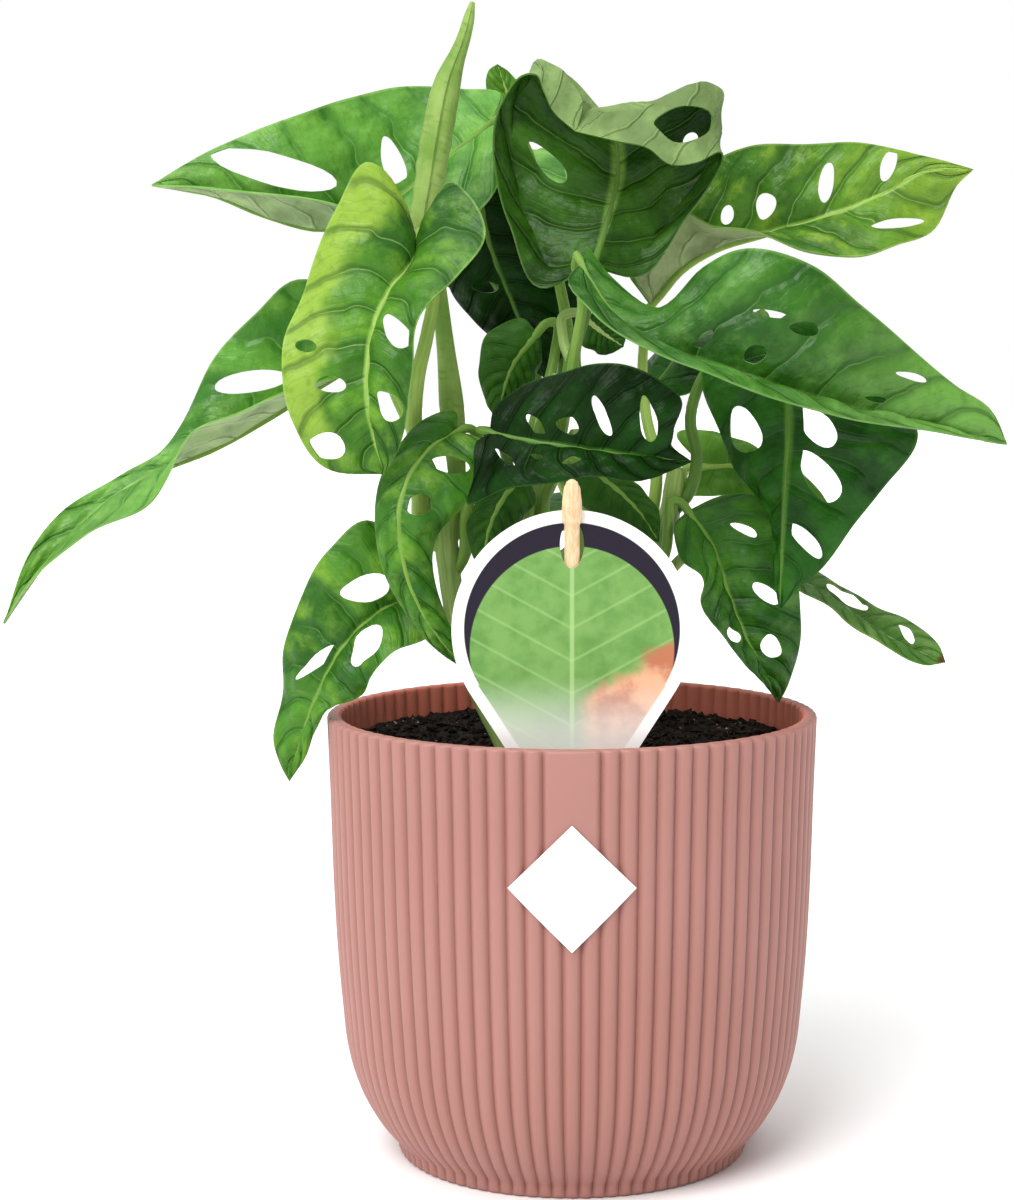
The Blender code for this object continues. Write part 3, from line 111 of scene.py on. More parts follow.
# Soil. A wave is radians a millimetre, and a roughness is (height, noise turns a millimetre, slice).
SOIL_TOP = 122.0
SOIL_RADIUS = 67.2
SOIL_CLEARANCE = 0.5
SOIL_INSET = 11.0
SOIL_EDGE_DROP = 3.0
SOIL_SIDES = 150
SOIL_ROWS = 56
SOIL_LUMP = 0.54
SOIL_WAVES = (0.21, 0.17, 0.43, 0.31)
SOIL_PHASES = (0.9, -0.4)
SOIL_SECOND_WAVE = 0.5
SOIL_ROUGHNESS = ((0.9, 0.16, 1.7), (0.5, 0.5, 4.2))
SOIL_SEED = 7
SOIL_CREASE = 80

# Soil grains: name, count, least and greatest size, and look (name, dark and light colour, roughness)
GRAINS = [("soil_grains", 3600, (0.5, 1.9),
           ("dark_grains", (0.035, 0.024, 0.02), (0.16, 0.105, 0.08), 0.85)),
          ("soil_specks", 420, (0.25, 0.75),
           ("pale_specks", (0.42, 0.28, 0.22), (0.80, 0.72, 0.66), 0.6))]
GRAIN_REACH = 0.985
GRAIN_LIFT = 0.25
GRAIN_WAVER = 0.5
GRAIN_STRETCH = ((0.6, 1.0), (0.5, 0.6), (0.4, 0.4))
GRAIN_CORNERS = [(1, 0, 0), (-1, 0, 0), (0, 1, 0), (0, -1, 0), (0, 0, 1), (0, 0, -1)]
GRAIN_FACES = [(0, 2, 4), (2, 1, 4), (1, 3, 4), (3, 0, 4), (2, 0, 5), (1, 2, 5), (3, 1, 5), (0, 3, 5)]
GRAIN_CREASE = 25

# Label, stake and sticker. The stake's stations are (height, half width, half depth).
LABEL_DEPTH = -54.0
LABEL_TOP = 194.5
LABEL_HALF_WIDTH = 33.0
LABEL_ARC = range(-30, 211, 4)
LABEL_SHOULDER = (14.0, 122.0)
LABEL_FOOT = (7.0, 112.0)
LABEL_THICKNESS = 0.8
LABEL_HOLE_HEIGHT = 185.0
LABEL_HOLE_WIDTH = 6.6
LABEL_HOLE_LENGTH = 13.0
LABEL_HOLE_STEPS = 32
LABEL_CREASE = 30
STAKE_SLOPE = 0.35
STAKE_SIDES = 28
STAKE_STATIONS = [(106.0, 2.4, 1.6), (140.0, 2.5, 1.6), (178.0, 2.5, 1.5), (181.0, 2.1, 1.1),
                  (190.6, 2.1, 1.1), (191.6, 2.8, 1.5), (196.5, 2.7, 1.7), (200.5, 2.3, 1.6),
                  (202.4, 1.6, 1.1), (203.1, 0.7, 0.5)]
STAKE_LONG_SPAN = 1.5
STAKE_LONG_PARTS = 6
STAKE_SHORT_PARTS = 2
STICKER_HEIGHT = 93.0
STICKER_HALF_DIAGONAL = 17.6
STICKER_THICKNESS = 0.5
STICKER_EDGE = 0.7
STICKER_GAP = 0.3
STICKER_STEPS = 30
STICKER_CREASE = 40

# Blades. Shares run along the rib from 0 to 1, and places across run from 0 on the rib to 1.
BLADE = 0.5
NECK_HALF = 0.9
NECK_STEP = 0.04
RIB_STEP = 0.01
FOLD_AT = 0.6
LEAST_FACING = 0.5
LEAST_HALF = 0.4
WAVES = 3.4
WIDTH_KNOTS = (0.0, 0.08, 0.3, 0.55, 0.8, 1.0)
WIDTH_SHARES = (0.1, 0.62, 1.0, 0.9, 0.52, 0.0)
LENGTH_STEPS = 40
ROW_COUNT = 64
COLUMNS = (0.035, 0.08, 0.15, 0.23, 0.31, 0.39, 0.47, 0.55, 0.63, 0.71, 0.79, 0.87, 0.94)
BLADE_CREASE = 60
TABLE_STEPS = 160
TABLE_START = 0.01
TABLE_SPAN = 0.97
LEAST_OUT = -0.05
BACK_SHARES = (0.05, 0.2, 0.4, 0.6, 0.8)
BACK_STEP = 0.05
LOBE_SWEEP = 0.2

# Holes of the blades, and those of the leaves at the back as shares and places across
HOLE_POINTS = 26
HOLE_SPACING = 0.8
HOLE_ROOM = 2.5
HOLE_EGG = 0.14
HOLE_WAVER = 0.06
HOLE_PHASE = (0.7, 1.3)
HOLE_SECOND_WAVE = 0.7
HOLE_SHARES = (0.04, 0.95)
HOLE_OUTS = (0.12, 0.9)
BACK_HOLE_SHARES = (0.3, 0.52)
BACK_HOLE_OUT = 0.5
BACK_HOLE_LONG = 0.035
BACK_HOLE_SLANT = 0.03
BACK_HOLE_WIDE = 0.27

# Veins and relief
VEINS = 8
VEIN_START = 4.0
VEIN_SWEEP = 0.17
VEIN_CURVE = 1.3
VEIN_DRIFT = 0.8
FINE_VEINS = 5.0
LEFT_VEIN_SHIFT = 0.42
RELIEF = 1.5
RELIEF_FADE = (0.6, 0.8)
BULGE_POWER = 2.4
PUCKER = 1.3
PUCKER_TURNS = (11.0, 3.6)
PUCKER_SLICE = 2.3
FULL_RELIEF_WIDTH = 26.0

# Stalks and stems. UV_LENGTH is the length of a stalk over which its second coordinate grows by 1.
FOOT_RADIUS = 1.9
FOOT_RUN = 9.0
FOOT_GAP = 0.4
FOOT_LEAN = 1.2
NECK_LEAD = 3.0
UV_LENGTH = 100
STALK_RADIUS = 1.4
STALK_ROOT = 8.0
STALK_GRID = (60, 12)
STALK_ROOT_SHARE = 0.9
STALK_NECK_SHARE = 0.95
RIB_SHARES = (0.04, 0.12, 0.24, 0.38, 0.54, 0.7, 0.85, 0.96)
RIB_SPREAD = 0.1
RIB_SINK = 0.55
RIB_TIP_RADIUS = 0.28
STEM_GRID = (70, 24)
STEM_CREASE = 30
STEM_TOP_SHARE = 0.6
NODE_SWELL = 0.1
NODE_LIMIT = 0.16
NODE_LENGTH = 3.5
SHEATH_STEP = 0.14

# Rolled young leaf, from its tip down: points (across, up, depth), and (share of its length, radius)
SPEAR_PATH = [(-28.5, 336.5, -4), (-30.5, 328, -5), (-35.5, 314, -6), (-38.5, 300, -7), (-41, 285, -8),
              (-43, 271, -9), (-39, 256, -7), (-37, 240, -7), (-35.2, 222, -7), (-34.2, 209, -6.5),
              (-33.6, 200, -6.3)]
SPEAR_RADII = [(0.0, 0.7), (0.03, 1.6), (0.06, 1.9), (0.1, 2.4), (0.16, 3.9), (0.26, 4.5), (0.38, 4.1),
               (0.46, 3.2), (0.55, 2.3), (0.66, 2.6), (0.8, 3.6), (0.88, 2.8), (1.0, 2.2)]
SPEAR_FOOT = ("stem_left", 186, 60)
SPEAR_FOOT_RADIUS = 2.2
SPEAR_GRID = (110, 40)
SPEAR_CREASE = 28
SPEAR_OVERLAP = 0.22
SPEAR_ROLL_START = 0.5
SPEAR_ROLL_LENGTH = 0.1
SPEAR_WRINKLE = 0.05
SPEAR_WRINKLE_TURNS = 150
SPEAR_WRINKLE_SLANT = 3
SPEAR_WRINKLE_MIDDLE = 0.68
SPEAR_WRINKLE_REACH = 0.1

# Stems: name, thickness at the bottom and at the top, and points (across, up, depth) upwards
Stem = namedtuple("Stem", "name low_radius top_radius points")
STEMS = [
    Stem("stem_left", 3.8, 3.0, [(-17, 106, -17), (-19, 120, -17), (-25, 133, -17), (-31, 147, -16),
                                 (-35, 165, -15), (-37, 185, -14), (-37, 197, -13)]),
    Stem("stem_middle", 3.2, 2.5, [(-1, 106, 4), (-3, 130, 4), (-8, 160, 3), (-11.5, 190, 2),
                                   (-9, 212, 4), (-4, 230, 6)]),
    Stem("stem_right", 3.2, 2.6, [(10, 106, 0), (14, 140, 0), (22, 170, 0), (28.5, 190, 0),
                                  (30.5, 203, 2)]),
    Stem("stem_back", 3.2, 2.6, [(4, 106, 24), (3, 150, 26), (2, 185, 30), (1, 214, 34)]),
]

# Leaves. rib runs from the stalk to the tip. The margins are lists of (share of the rib, across, up),
# right and left as seen on the top face with the tip pointing up. half_width is the true width of
# one half, and what the outline does not show of it is turned away (lean above 0) or nearer
# (lean below 0). A hole is (across, up, length, width, tilt in degrees). A fold is the line along
# which one half turns over, and a hole of its flap is (share, place across, length, width, tilt). The
# stalk runs on from the blade through its points to foot: (stem, height, direction round the stem).
Leaf = namedtuple("Leaf", "name colour rib right left half_width lean stalk foot right_holes left_holes "
                          "arch wave foot_radius right_fold left_fold flap_holes",
                  defaults=((), (), 3.0, 1.2, FOOT_RADIUS, (), (), ()))
LEAVES = []


def leaf(*values, **settings):
    """Adds a leaf to the plant."""
    LEAVES.append(Leaf(*values, **settings))


leaf("leaf_front_left", "lime",
     rib=[(-45, 269, -20), (-46, 263, -25), (-53, 254, -32), (-58, 242, -38), (-59.5, 222, -40),
          (-55, 201, -34)],
     right=[(0.05, -51, 284), (0.11, -58, 291), (0.23, -68, 278), (0.4, -77, 256), (0.6, -84, 237),
            (0.77, -81.5, 216), (0.91, -70, 202)],
     left=[(0.05, -37, 284), (0.12, -30, 282), (0.2, -25, 272), (0.32, -33, 259), (0.47, -44.5, 246),
           (0.65, -46.5, 230), (0.85, -50, 210)],
     half_width=31, lean=(0.45, -0.2),
     right_holes=[(-77, 238, 7, 3, -5), (-70, 227.2, 8.5, 5, -5), (-72, 209.5, 11, 8.5, 10)],
     left_holes=[(-50.5, 242, 10, 6.5, -50), (-53, 221, 10, 6.5, -60)],
     stalk=[(-42, 267.5, -15), (-40, 255, -16), (-42, 242, -17), (-45, 229, -16), (-46, 214, -12),
            (-44.5, 203, -12)],
     foot=("stem_left", 186, 180), foot_radius=2.9)

leaf("leaf_upper_left", "mid",
     rib=[(-22, 303, 26), (-34, 294, 27), (-50, 281, 27), (-68, 272, 25), (-84, 274, 21),
          (-102, 281, 17), (-121.5, 284.5, 14)],
     right=[(0.04, -20, 309), (0.15, -32, 312), (0.3, -48, 312.3), (0.45, -64, 309.5),
            (0.6, -79, 304.5), (0.75, -94, 299), (0.88, -108, 292.5)],
     left=[(0.04, -19, 296), (0.12, -22, 283), (0.24, -34, 273), (0.4, -55, 273), (0.55, -70, 280),
           (0.7, -86, 281.5), (0.86, -105, 283.8)],
     half_width=37, lean=(0.5, -0.55),
     right_holes=[(-87, 289, 36, 9.5, -15), (-51.5, 291, 14, 6.5, -68)],
     stalk=[(-14, 297, 27), (-9, 280, 28), (-4, 258, 28), (-1, 241, 23)],
     foot=("stem_middle", 220, 60))

leaf("leaf_far_left", "mid",
     rib=[(-62, 234, 36), (-83, 221, 32), (-100, 210.5, 27), (-116, 204, 21), (-132, 196, 15),
          (-150, 180, 8), (-167, 157, 0)],
     right=[(0.04, -63, 251), (0.12, -77, 257.5), (0.25, -92, 247.5), (0.36, -104.5, 234),
            (0.45, -112, 219), (0.53, -119, 208.5), (0.65, -132, 200.3), (0.8, -150, 189.5),
            (0.92, -161, 174)],
     left=[(0.05, -64, 230.5), (0.15, -80, 226), (0.28, -97, 219.5), (0.4, -111, 212),
           (0.5, -119, 199), (0.6, -126, 191), (0.75, -143, 182.5), (0.9, -159, 169.5)],
     half_width=27, lean=(0.4, -0.7),
     right_holes=[(-94, 227.8, 23, 6, 10)],
     stalk=[(-55, 233, 33), (-52, 225, 25), (-48, 216, 12), (-43, 206, 0)],
     foot=("stem_left", 188, 120), arch=0.8)

leaf("leaf_back_centre", "dark",
     rib=[(-27, 282, 30), (-24, 268, 34), (-17, 250, 38), (-8, 229, 38)],
     right=[(0.08, -34, 284), (0.22, -37.5, 270), (0.4, -35, 254), (0.6, -28, 245.5),
            (0.76, -22, 239.5), (0.9, -13, 232.5)],
     left=[(0.08, -18, 286), (0.2, -8, 278), (0.4, 0, 264), (0.6, 2, 251), (0.8, -1, 239),
           (0.92, -5, 232)],
     half_width=23, lean=(0.3, 0.3),
     right_holes=[(-24.8, 255.8, 7, 3.4, -8)],
     stalk=[(-25, 287, 36), (-17, 281, 45), (-8, 258, 47), (-3, 238, 48)],
     foot=("stem_back", 202, 215))

leaf("leaf_top_cup", "dark",
     rib=[(6, 261, -4), (10.5, 275.5, 4), (13.5, 290, 9), (11.5, 301, 8), (7, 306.5, 1),
          (2.5, 303.5, -7), (1, 299.8, -11)],
     right=[(0.06, 18, 258, -2), (0.2, 33, 275, 2), (0.36, 43, 290, 0), (0.47, 42.5, 294, -7),
            (0.57, 36, 291, -12), (0.67, 28, 290.5, -14), (0.76, 22, 295, -13), (0.87, 13, 297, -12)],
     left=[(0.06, -7, 255, -2), (0.2, -18, 273, 2), (0.34, -22.5, 291, 4), (0.47, -21.5, 305, 4),
           (0.57, -16, 314.5, 0), (0.67, -10.5, 316, -7), (0.79, -8, 311, -11), (0.9, -5, 305, -12)],
     right_fold=[(0.0, 6, 261, -4), (0.1, 15, 261.5, -1), (0.25, 29, 275, 7), (0.4, 40.5, 294, 8),
                 (0.52, 43.4, 305, 6), (0.6, 43, 311, 3), (0.67, 39, 313.3, 0), (0.77, 29, 309.5, -2),
                 (0.85, 20, 306, -4), (0.94, 9, 304.5, -8), (1.0, 1, 299.8, -11)],
     left_fold=[(0.0, 6, 261, -4), (0.1, -3, 258.5, -1), (0.25, -12, 272, 7), (0.4, -17, 290, 10),
                (0.52, -17, 305, 8), (0.61, -13, 315, 5), (0.7, -8.5, 320.5, 1),
                (0.8, -2, 316, -4), (0.9, 2.5, 309, -8), (1.0, 1, 299.8, -11)],
     half_width=34, lean=(0.1, 0.1),
     left_holes=[(-7, 291, 15, 5.5, -45)], right_holes=[(34, 297, 5.5, 4, 60)],
     flap_holes=[(0.68, 0.8, 0.2, 0.2, 0)],
     stalk=[(4.5, 250, -6), (1, 238, -5), (-3, 224, -4)],
     foot=("stem_middle", 206, -95), arch=0.0, foot_radius=2.2)

leaf("leaf_upper_right", "lime",
     rib=[(23, 250, 31), (30, 259, 32), (42, 266.5, 31), (56, 270.5, 29), (72, 275, 27),
          (90, 282, 25), (104, 289, 24), (116, 289, 23)],
     right=[(0.05, 18, 259, 23), (0.12, 26, 275.5, 15), (0.25, 42, 272.5, 9), (0.36, 55, 270, 6),
            (0.48, 69, 266, 6), (0.62, 84, 263.5), (0.72, 94, 267.5), (0.83, 105, 272),
            (0.92, 111, 284)],
     left=[(0.05, 15, 262, 33), (0.12, 24, 280, 35), (0.24, 38, 290), (0.38, 51, 295.5),
           (0.53, 67, 296.3), (0.7, 84, 296.5), (0.85, 101, 293)],
     half_width=27, lean=(-0.9, 0.2),
     left_holes=[(45, 275.8, 5.5, 4, 70), (56, 278.5, 8, 5.5, 70), (73.5, 285, 11, 4.6, 80),
                 (91.3, 290, 9, 4.6, 70)],
     right_holes=[(94, 273.5, 15, 2.6, 4)],
     stalk=[(21, 242, 28), (20.5, 230, 21), (22, 216, 12), (24.5, 206, 6)],
     foot=("stem_right", 188, 150), arch=0.8)

leaf("leaf_right_large", "mid",
     rib=[(3, 262, -22), (9, 251, -28), (21, 240, -34), (45, 231, -38), (75, 221.5, -36),
          (100, 216.5, -28), (127, 209.5, -18)],
     right=[(0.03, -1, 258), (0.1, 5, 249), (0.25, 26, 235.5), (0.45, 52, 226), (0.62, 76, 217.8),
            (0.78, 97, 214.8), (0.9, 113, 212)],
     left=[(0.03, 4, 267), (0.08, 10, 259.5), (0.16, 24, 249), (0.26, 38, 261), (0.38, 52, 266.3),
           (0.5, 70, 261.3), (0.62, 84, 250), (0.75, 99, 237), (0.87, 112, 226.5), (0.95, 123, 218.5)],
     half_width=36, lean=(-0.5, 0.25),
     left_holes=[(67, 243.4, 9, 4, -8), (38, 239.3, 9, 2.6, 50), (53, 235.8, 7.5, 5, 40),
                 (57, 247.6, 10, 2, -8), (98, 229.3, 10, 2.2, -12), (88, 222.8, 7, 2, -15)],
     stalk=[(1, 262, -17), (3, 252, -15), (1.5, 240, -14), (-1, 225, -11)],
     foot=("stem_middle", 198, 0), arch=3.5)

leaf("leaf_right_hanging", "dark",
     rib=[(57, 244, -6), (62, 229, -10), (63, 212, -14), (62, 195, -18), (61.5, 178, -20),
          (61, 161, -22)],
     right=[(0.05, 49, 246), (0.15, 40, 237), (0.28, 38, 227), (0.4, 42.5, 215), (0.54, 47.5, 202.5),
            (0.68, 55, 193.5), (0.78, 58.3, 186), (0.9, 59.3, 172)],
     left=[(0.05, 68, 250), (0.15, 84, 238), (0.3, 97, 220), (0.45, 100.5, 210), (0.6, 91.5, 197.5),
           (0.72, 83, 187), (0.86, 73, 173), (0.94, 66, 167)],
     half_width=37, lean=(0.35, 0.25),
     left_holes=[(71, 214.5, 15, 8, -42), (72, 200, 17, 8.5, -52), (68.3, 181.5, 13, 4.8, -48)],
     right_holes=[(51, 213.5, 15, 8.5, -72)],
     stalk=[(54, 247, 1), (47, 240, 4), (38, 229, 3), (34.5, 217, 2)],
     foot=("stem_right", 196, -10))

leaf("leaf_right_low", "mid",
     rib=[(34, 190, -6), (40.5, 181, -7), (45, 168, -8), (51, 153, -8), (57, 142, -5),
          (61, 133.5, 0)],
     right=[(0.05, 30, 186), (0.12, 31, 178), (0.26, 38, 171), (0.42, 38, 163), (0.6, 44, 153.5),
            (0.78, 52, 143.8), (0.9, 57.5, 138)],
     left=[(0.05, 42, 194), (0.13, 52, 195), (0.28, 62, 187), (0.43, 65.5, 174), (0.58, 67.2, 161),
           (0.74, 66.5, 149), (0.88, 64, 140)],
     half_width=25, lean=(-0.3, 0.3),
     left_holes=[(56.3, 166, 10, 4, -35), (58, 150.5, 7.5, 5.5, -60), (50, 184.6, 9, 2.4, -25)],
     right_holes=[(46.7, 153.5, 5.5, 2.2, -58)],
     stalk=[(29.3, 193.5, -7), (28.3, 187, -7)],
     foot=("stem_right", 171, -70))

leaf("leaf_right_narrow", "pale",
     rib=[(64, 170.5, 22), (75, 165, 20), (85, 158, 17), (95, 151.8, 14), (110, 145.5, 9)],
     right=[(0.08, 65, 168), (0.28, 74, 163), (0.48, 83, 156), (0.68, 93, 149.8), (0.88, 104, 144.6)],
     left=[(0.08, 68, 173), (0.28, 79, 168), (0.48, 88, 162.5), (0.68, 98, 158.2), (0.88, 107.5, 151)],
     half_width=16, lean=(-0.6, 0.6),
     left_holes=[(80.5, 163.7, 15, 2.6, -32), (98.3, 153.6, 7.5, 2.4, -50)],
     stalk=[(54, 174, 19), (43, 181, 14)],
     foot=("stem_right", 160, 30), arch=2.0, wave=0.5)

leaf("leaf_front_centre", "dark",
     rib=[(-24, 213, -31), (-12, 210.5, -37), (2, 208.5, -41), (18, 206.5, -42), (35, 204.5, -38)],
     right=[(0.05, -28, 210), (0.13, -29, 200), (0.2, -31, 192.8), (0.34, -18, 196.5),
            (0.48, -3, 199), (0.63, 8, 200), (0.78, 20, 199), (0.92, 30, 202.3)],
     left=[(0.05, -23, 219), (0.16, -14, 226.5), (0.33, -1, 231), (0.52, 14, 233), (0.68, 26, 228),
           (0.8, 32, 221.5), (0.91, 28.5, 210)],
     half_width=27, lean=(-0.3, 0.4),
     left_holes=[(-0.8, 214.8, 6.5, 5, 0), (22, 217, 13, 5, -80), (9, 218, 12, 3.4, -70),
                 (-10, 214.5, 7, 3.6, -50)],
     right_holes=[(-19, 205, 7, 2, -40), (0, 204, 6, 2.6, 5), (-10, 205.5, 4, 1.8, -30)],
     stalk=[(-22.5, 213, -24), (-19, 205, -14)],
     foot=("stem_middle", 182, 200))

leaf("leaf_left_curl", "mid",
     rib=[(-33, 213.5, -20), (-36.5, 212, -23), (-43, 207, -28), (-50, 194, -34), (-50, 178, -37),
          (-44, 160, -38), (-31, 143, -34)],
     right=[(0.05, -34, 219), (0.14, -43, 217), (0.27, -52.5, 206), (0.42, -57.5, 192.5),
            (0.58, -56.5, 178), (0.74, -51, 163.5), (0.9, -40, 149.5)],
     left=[(0.05, -27.5, 211.5), (0.13, -25, 208), (0.25, -27, 202), (0.38, -30.5, 193),
           (0.5, -38.5, 184.5), (0.64, -41, 174), (0.8, -37.5, 160), (0.92, -33, 150)],
     half_width=24, lean=(0.25, 0.2),
     left_holes=[(-36, 203, 12, 4.6, -12), (-45, 191.7, 8, 6, 15)],
     stalk=[(-28, 213, -15), (-28, 204, -13)],
     foot=("stem_left", 178, -20))

leaf("leaf_lower_left", "mid",
     rib=[(-48, 165, -12), (-58, 159.5, -16), (-67, 150.5, -18), (-74, 138, -17), (-79.5, 124, -13),
          (-83.5, 110, -8)],
     right=[(0.05, -47, 177), (0.15, -58, 187), (0.3, -71, 179), (0.45, -79.5, 165),
            (0.6, -84.3, 150), (0.74, -85.3, 136), (0.86, -88, 122.5), (0.94, -86, 115)],
     left=[(0.05, -43, 160), (0.14, -42, 153.5), (0.28, -52, 149.3), (0.45, -59, 141),
           (0.6, -63.5, 134.8), (0.7, -71, 132), (0.82, -75.5, 126), (0.92, -79, 117)],
     half_width=27, lean=(0.3, -0.35),
     right_holes=[(-61, 167.5, 15, 7.5, 12), (-74.5, 145.8, 15, 3.2, 40)],
     left_holes=[(-60, 150.3, 13.5, 7.5, 62)],
     stalk=[(-42, 168, -12)],
     foot=("stem_left", 156, 180))

leaf("leaf_small_lime", "lime",
     rib=[(38, 203, 16), (50, 203, 19), (62, 199, 21), (75, 192, 23)],
     right=[(0.06, 30, 197.5), (0.14, 32, 195), (0.26, 39, 194.5), (0.4, 48, 194.5),
            (0.6, 60, 192.5), (0.85, 71, 190)],
     left=[(0.06, 31, 211), (0.2, 40, 213.5), (0.4, 50, 210), (0.6, 60, 205.5), (0.85, 71, 197.5)],
     half_width=14, lean=(-0.6, 0.6),
     stalk=[(33, 202, 22), (31, 195, 24), (29.5, 186, 17)],
     foot=("stem_right", 174, 90), arch=2.0)

leaf("leaf_young_top", "lime",
     rib=[(-16, 298, 40), (-18, 308, 41), (-21.5, 319, 41)],
     right=[(0.12, -11, 302), (0.5, -14, 311), (0.8, -18, 316.5)],
     left=[(0.12, -21, 302), (0.5, -24.5, 311), (0.8, -24, 317)],
     half_width=7.5, lean=(0.3, 0.3),
     stalk=[(-14, 286, 50), (-11, 262, 57), (-7, 240, 53)],
     foot=("stem_back", 198, 150), arch=1.0, wave=0.6)

leaf("leaf_small_mid", "mid",
     rib=[(-10, 242, 15), (-17, 233, 14), (-22, 217, 12)],
     right=[(0.1, -14, 246), (0.3, -24, 242), (0.55, -27, 232), (0.8, -25, 222)],
     left=[(0.1, -9, 236), (0.35, -11, 229), (0.6, -16, 223), (0.85, -20, 218)],
     half_width=12, lean=(0.4, 0.4),
     stalk=[(-4.5, 245, 19), (-5, 236, 19), (-8, 224, 14)],
     foot=("stem_middle", 209, 120), arch=1.5)

leaf("leaf_small_centre", "pale",
     rib=[(4, 246, 8), (9, 242, 6), (15, 238, 4)],
     right=[(0.15, 2, 241), (0.45, 6, 237), (0.8, 11, 236)],
     left=[(0.15, 8, 249), (0.45, 13, 245.5), (0.8, 15.5, 241)],
     half_width=8, lean=(0.4, 0.4),
     stalk=[(-2.5, 247, 10), (-2.5, 240, 9)],
     foot=("stem_middle", 220, -20), arch=1.0)

leaf("leaf_low_left", "mid",
     rib=[(-14, 201, -18), (-20, 194, -22), (-24.5, 184, -25), (-26, 172, -26)],
     right=[(0.1, -20, 203), (0.35, -27, 195), (0.6, -30.5, 186), (0.85, -29, 177)],
     left=[(0.1, -11, 195), (0.35, -14.5, 188), (0.6, -19, 181), (0.85, -23, 175)],
     half_width=12, lean=(0.4, 0.3),
     stalk=[(-12, 203, -12)],
     foot=("stem_middle", 176, -100), arch=1.5)

leaf("leaf_low_right", "mid",
     rib=[(4, 203, -16), (13, 196.5, -21), (20, 189.5, -24), (25.5, 181, -25)],
     right=[(0.1, 0, 198), (0.4, 7, 189), (0.75, 18, 183)],
     left=[(0.1, 8, 204), (0.4, 19, 197.5), (0.75, 25.5, 189)],
     half_width=11, lean=(0.3, 0.3),
     stalk=[(0, 205, -10)],
     foot=("stem_middle", 186, -55), arch=1.5)


# Numbers, paths and places

def clamp(value, low=0.0, high=1.0):
    return min(max(value, low), high)


def even(count):
    """Shares from 0 to 1 at equal steps."""
    return [step/(count - 1) for step in range(count)]


def circle(count):
    """Cosine and sine of each step of a full turn."""
    return [(cos(2*pi*step/count), sin(2*pi*step/count)) for step in range(count)]


def lengths(points):
    """Shares of a polyline's length at which its points lie, from 0 to 1."""
    run = [0.0]
    for first, second in zip(points, points[1:]):
        run.append(run[-1] + (second - first).length)
    return [value/run[-1] for value in run]


def path_length(points):
    return sum((second - first).length for first, second in zip(points, points[1:]))


def level(knots, values, at):
    """Straight lines between the values at the knots."""
    index = clamp(bisect_right(knots, at) - 1, 0, len(knots) - 2)
    t = (at - knots[index])/(knots[index + 1] - knots[index])
    return values[index] + (values[index + 1] - values[index])*clamp(t)


def spline(knots, points, at):
    """Smooth curve through the points, each passed at its knot."""
    last = len(knots) - 1
    index = clamp(bisect_right(knots, at) - 1, 0, last - 1)

    def slope(i):
        if i == 0:
            return (points[1] - points[0])*(1/(knots[1] - knots[0]))
        if i == last:
            return (points[last] - points[last - 1])*(1/(knots[last] - knots[last - 1]))
        before = knots[i] - knots[i - 1]
        after = knots[i + 1] - knots[i]
        rise_before = (points[i] - points[i - 1])*(1/before)
        rise_after = (points[i + 1] - points[i])*(1/after)
        return (rise_before*after + rise_after*before)*(1/(before + after))

    span = knots[index + 1] - knots[index]
    t = (at - knots[index])/span
    start = points[index]*(2*t**3 - 3*t**2 + 1)
    start_slope = slope(index)*(span*(t**3 - 2*t**2 + t))
    end = points[index + 1]*(3*t**2 - 2*t**3)
    end_slope = slope(index + 1)*(span*(t**3 - t**2))
    return start + start_slope + end + end_slope


def place(across, up, depth):
    """The point at this depth that is seen at (across, up) in the plane through the pot's axis."""
    growth = (EYE_DISTANCE + depth)/EYE_DISTANCE
    return Vector((across*growth, depth, EYE_HEIGHT + (up - EYE_HEIGHT)*growth))


def seen(point):
    """Where a point is seen in the plane through the pot's axis."""
    growth = (EYE_DISTANCE + point.y)/EYE_DISTANCE
    return point.x/growth, EYE_HEIGHT + (point.z - EYE_HEIGHT)/growth


# The four leaves at the back

def back_leaf(name, colour, rib, width, drop, stalk, foot):
    """A leaf at the back: its margins are level with the rib, less a drop."""
    centre = [Vector(point) for point in rib]
    knots = lengths(centre)
    sides = []
    for side in (1, -1):
        margin = []
        for share in BACK_SHARES:
            middle = spline(knots, centre, share)
            ahead = spline(knots, centre, share + BACK_STEP) - spline(knots, centre, share - BACK_STEP)
            out = Vector((ahead.z, 0, -ahead.x)).normalized()*side
            reach = width*spline(WIDTH_KNOTS, WIDTH_SHARES, share)
            point = middle + out*reach - Vector((0, drop*reach/width, 0))
            if share == BACK_SHARES[0]:
                point -= ahead.normalized()*width*LOBE_SWEEP
            margin.append((share, *point))
        sides.append(margin)
    leaf(name, colour, rib, *sides, width, None, stalk, foot)


back_leaf("leaf_rear_high", "mid",
          [(3, 262, 62), (0, 282, 74), (-2, 294, 92), (-2, 286, 112), (-1, 262, 124)],
          23, 6, [(2, 250, 57), (1, 236, 50)], ("stem_back", 204, 60))
back_leaf("leaf_rear_left", "dark",
          [(-22, 254, 74), (-34, 270, 84), (-49, 277, 96), (-62, 270, 110), (-70, 253, 120)],
          20, 6, [(-17, 244, 68), (-9, 226, 56)], ("stem_back", 186, 110))
back_leaf("leaf_rear_right", "dark",
          [(24, 226, 54), (36, 240, 64), (53, 243, 78), (70, 234, 92), (82, 215, 100)],
          20, 6, [(17, 218, 50)], ("stem_back", 182, 10))
back_leaf("leaf_rear_low", "mid",
          [(4, 186, 60), (5, 194, 72), (6, 188, 92), (7, 168, 108), (8, 146, 114)],
          20, 5, [(3, 176, 52)], ("stem_back", 154, 80))


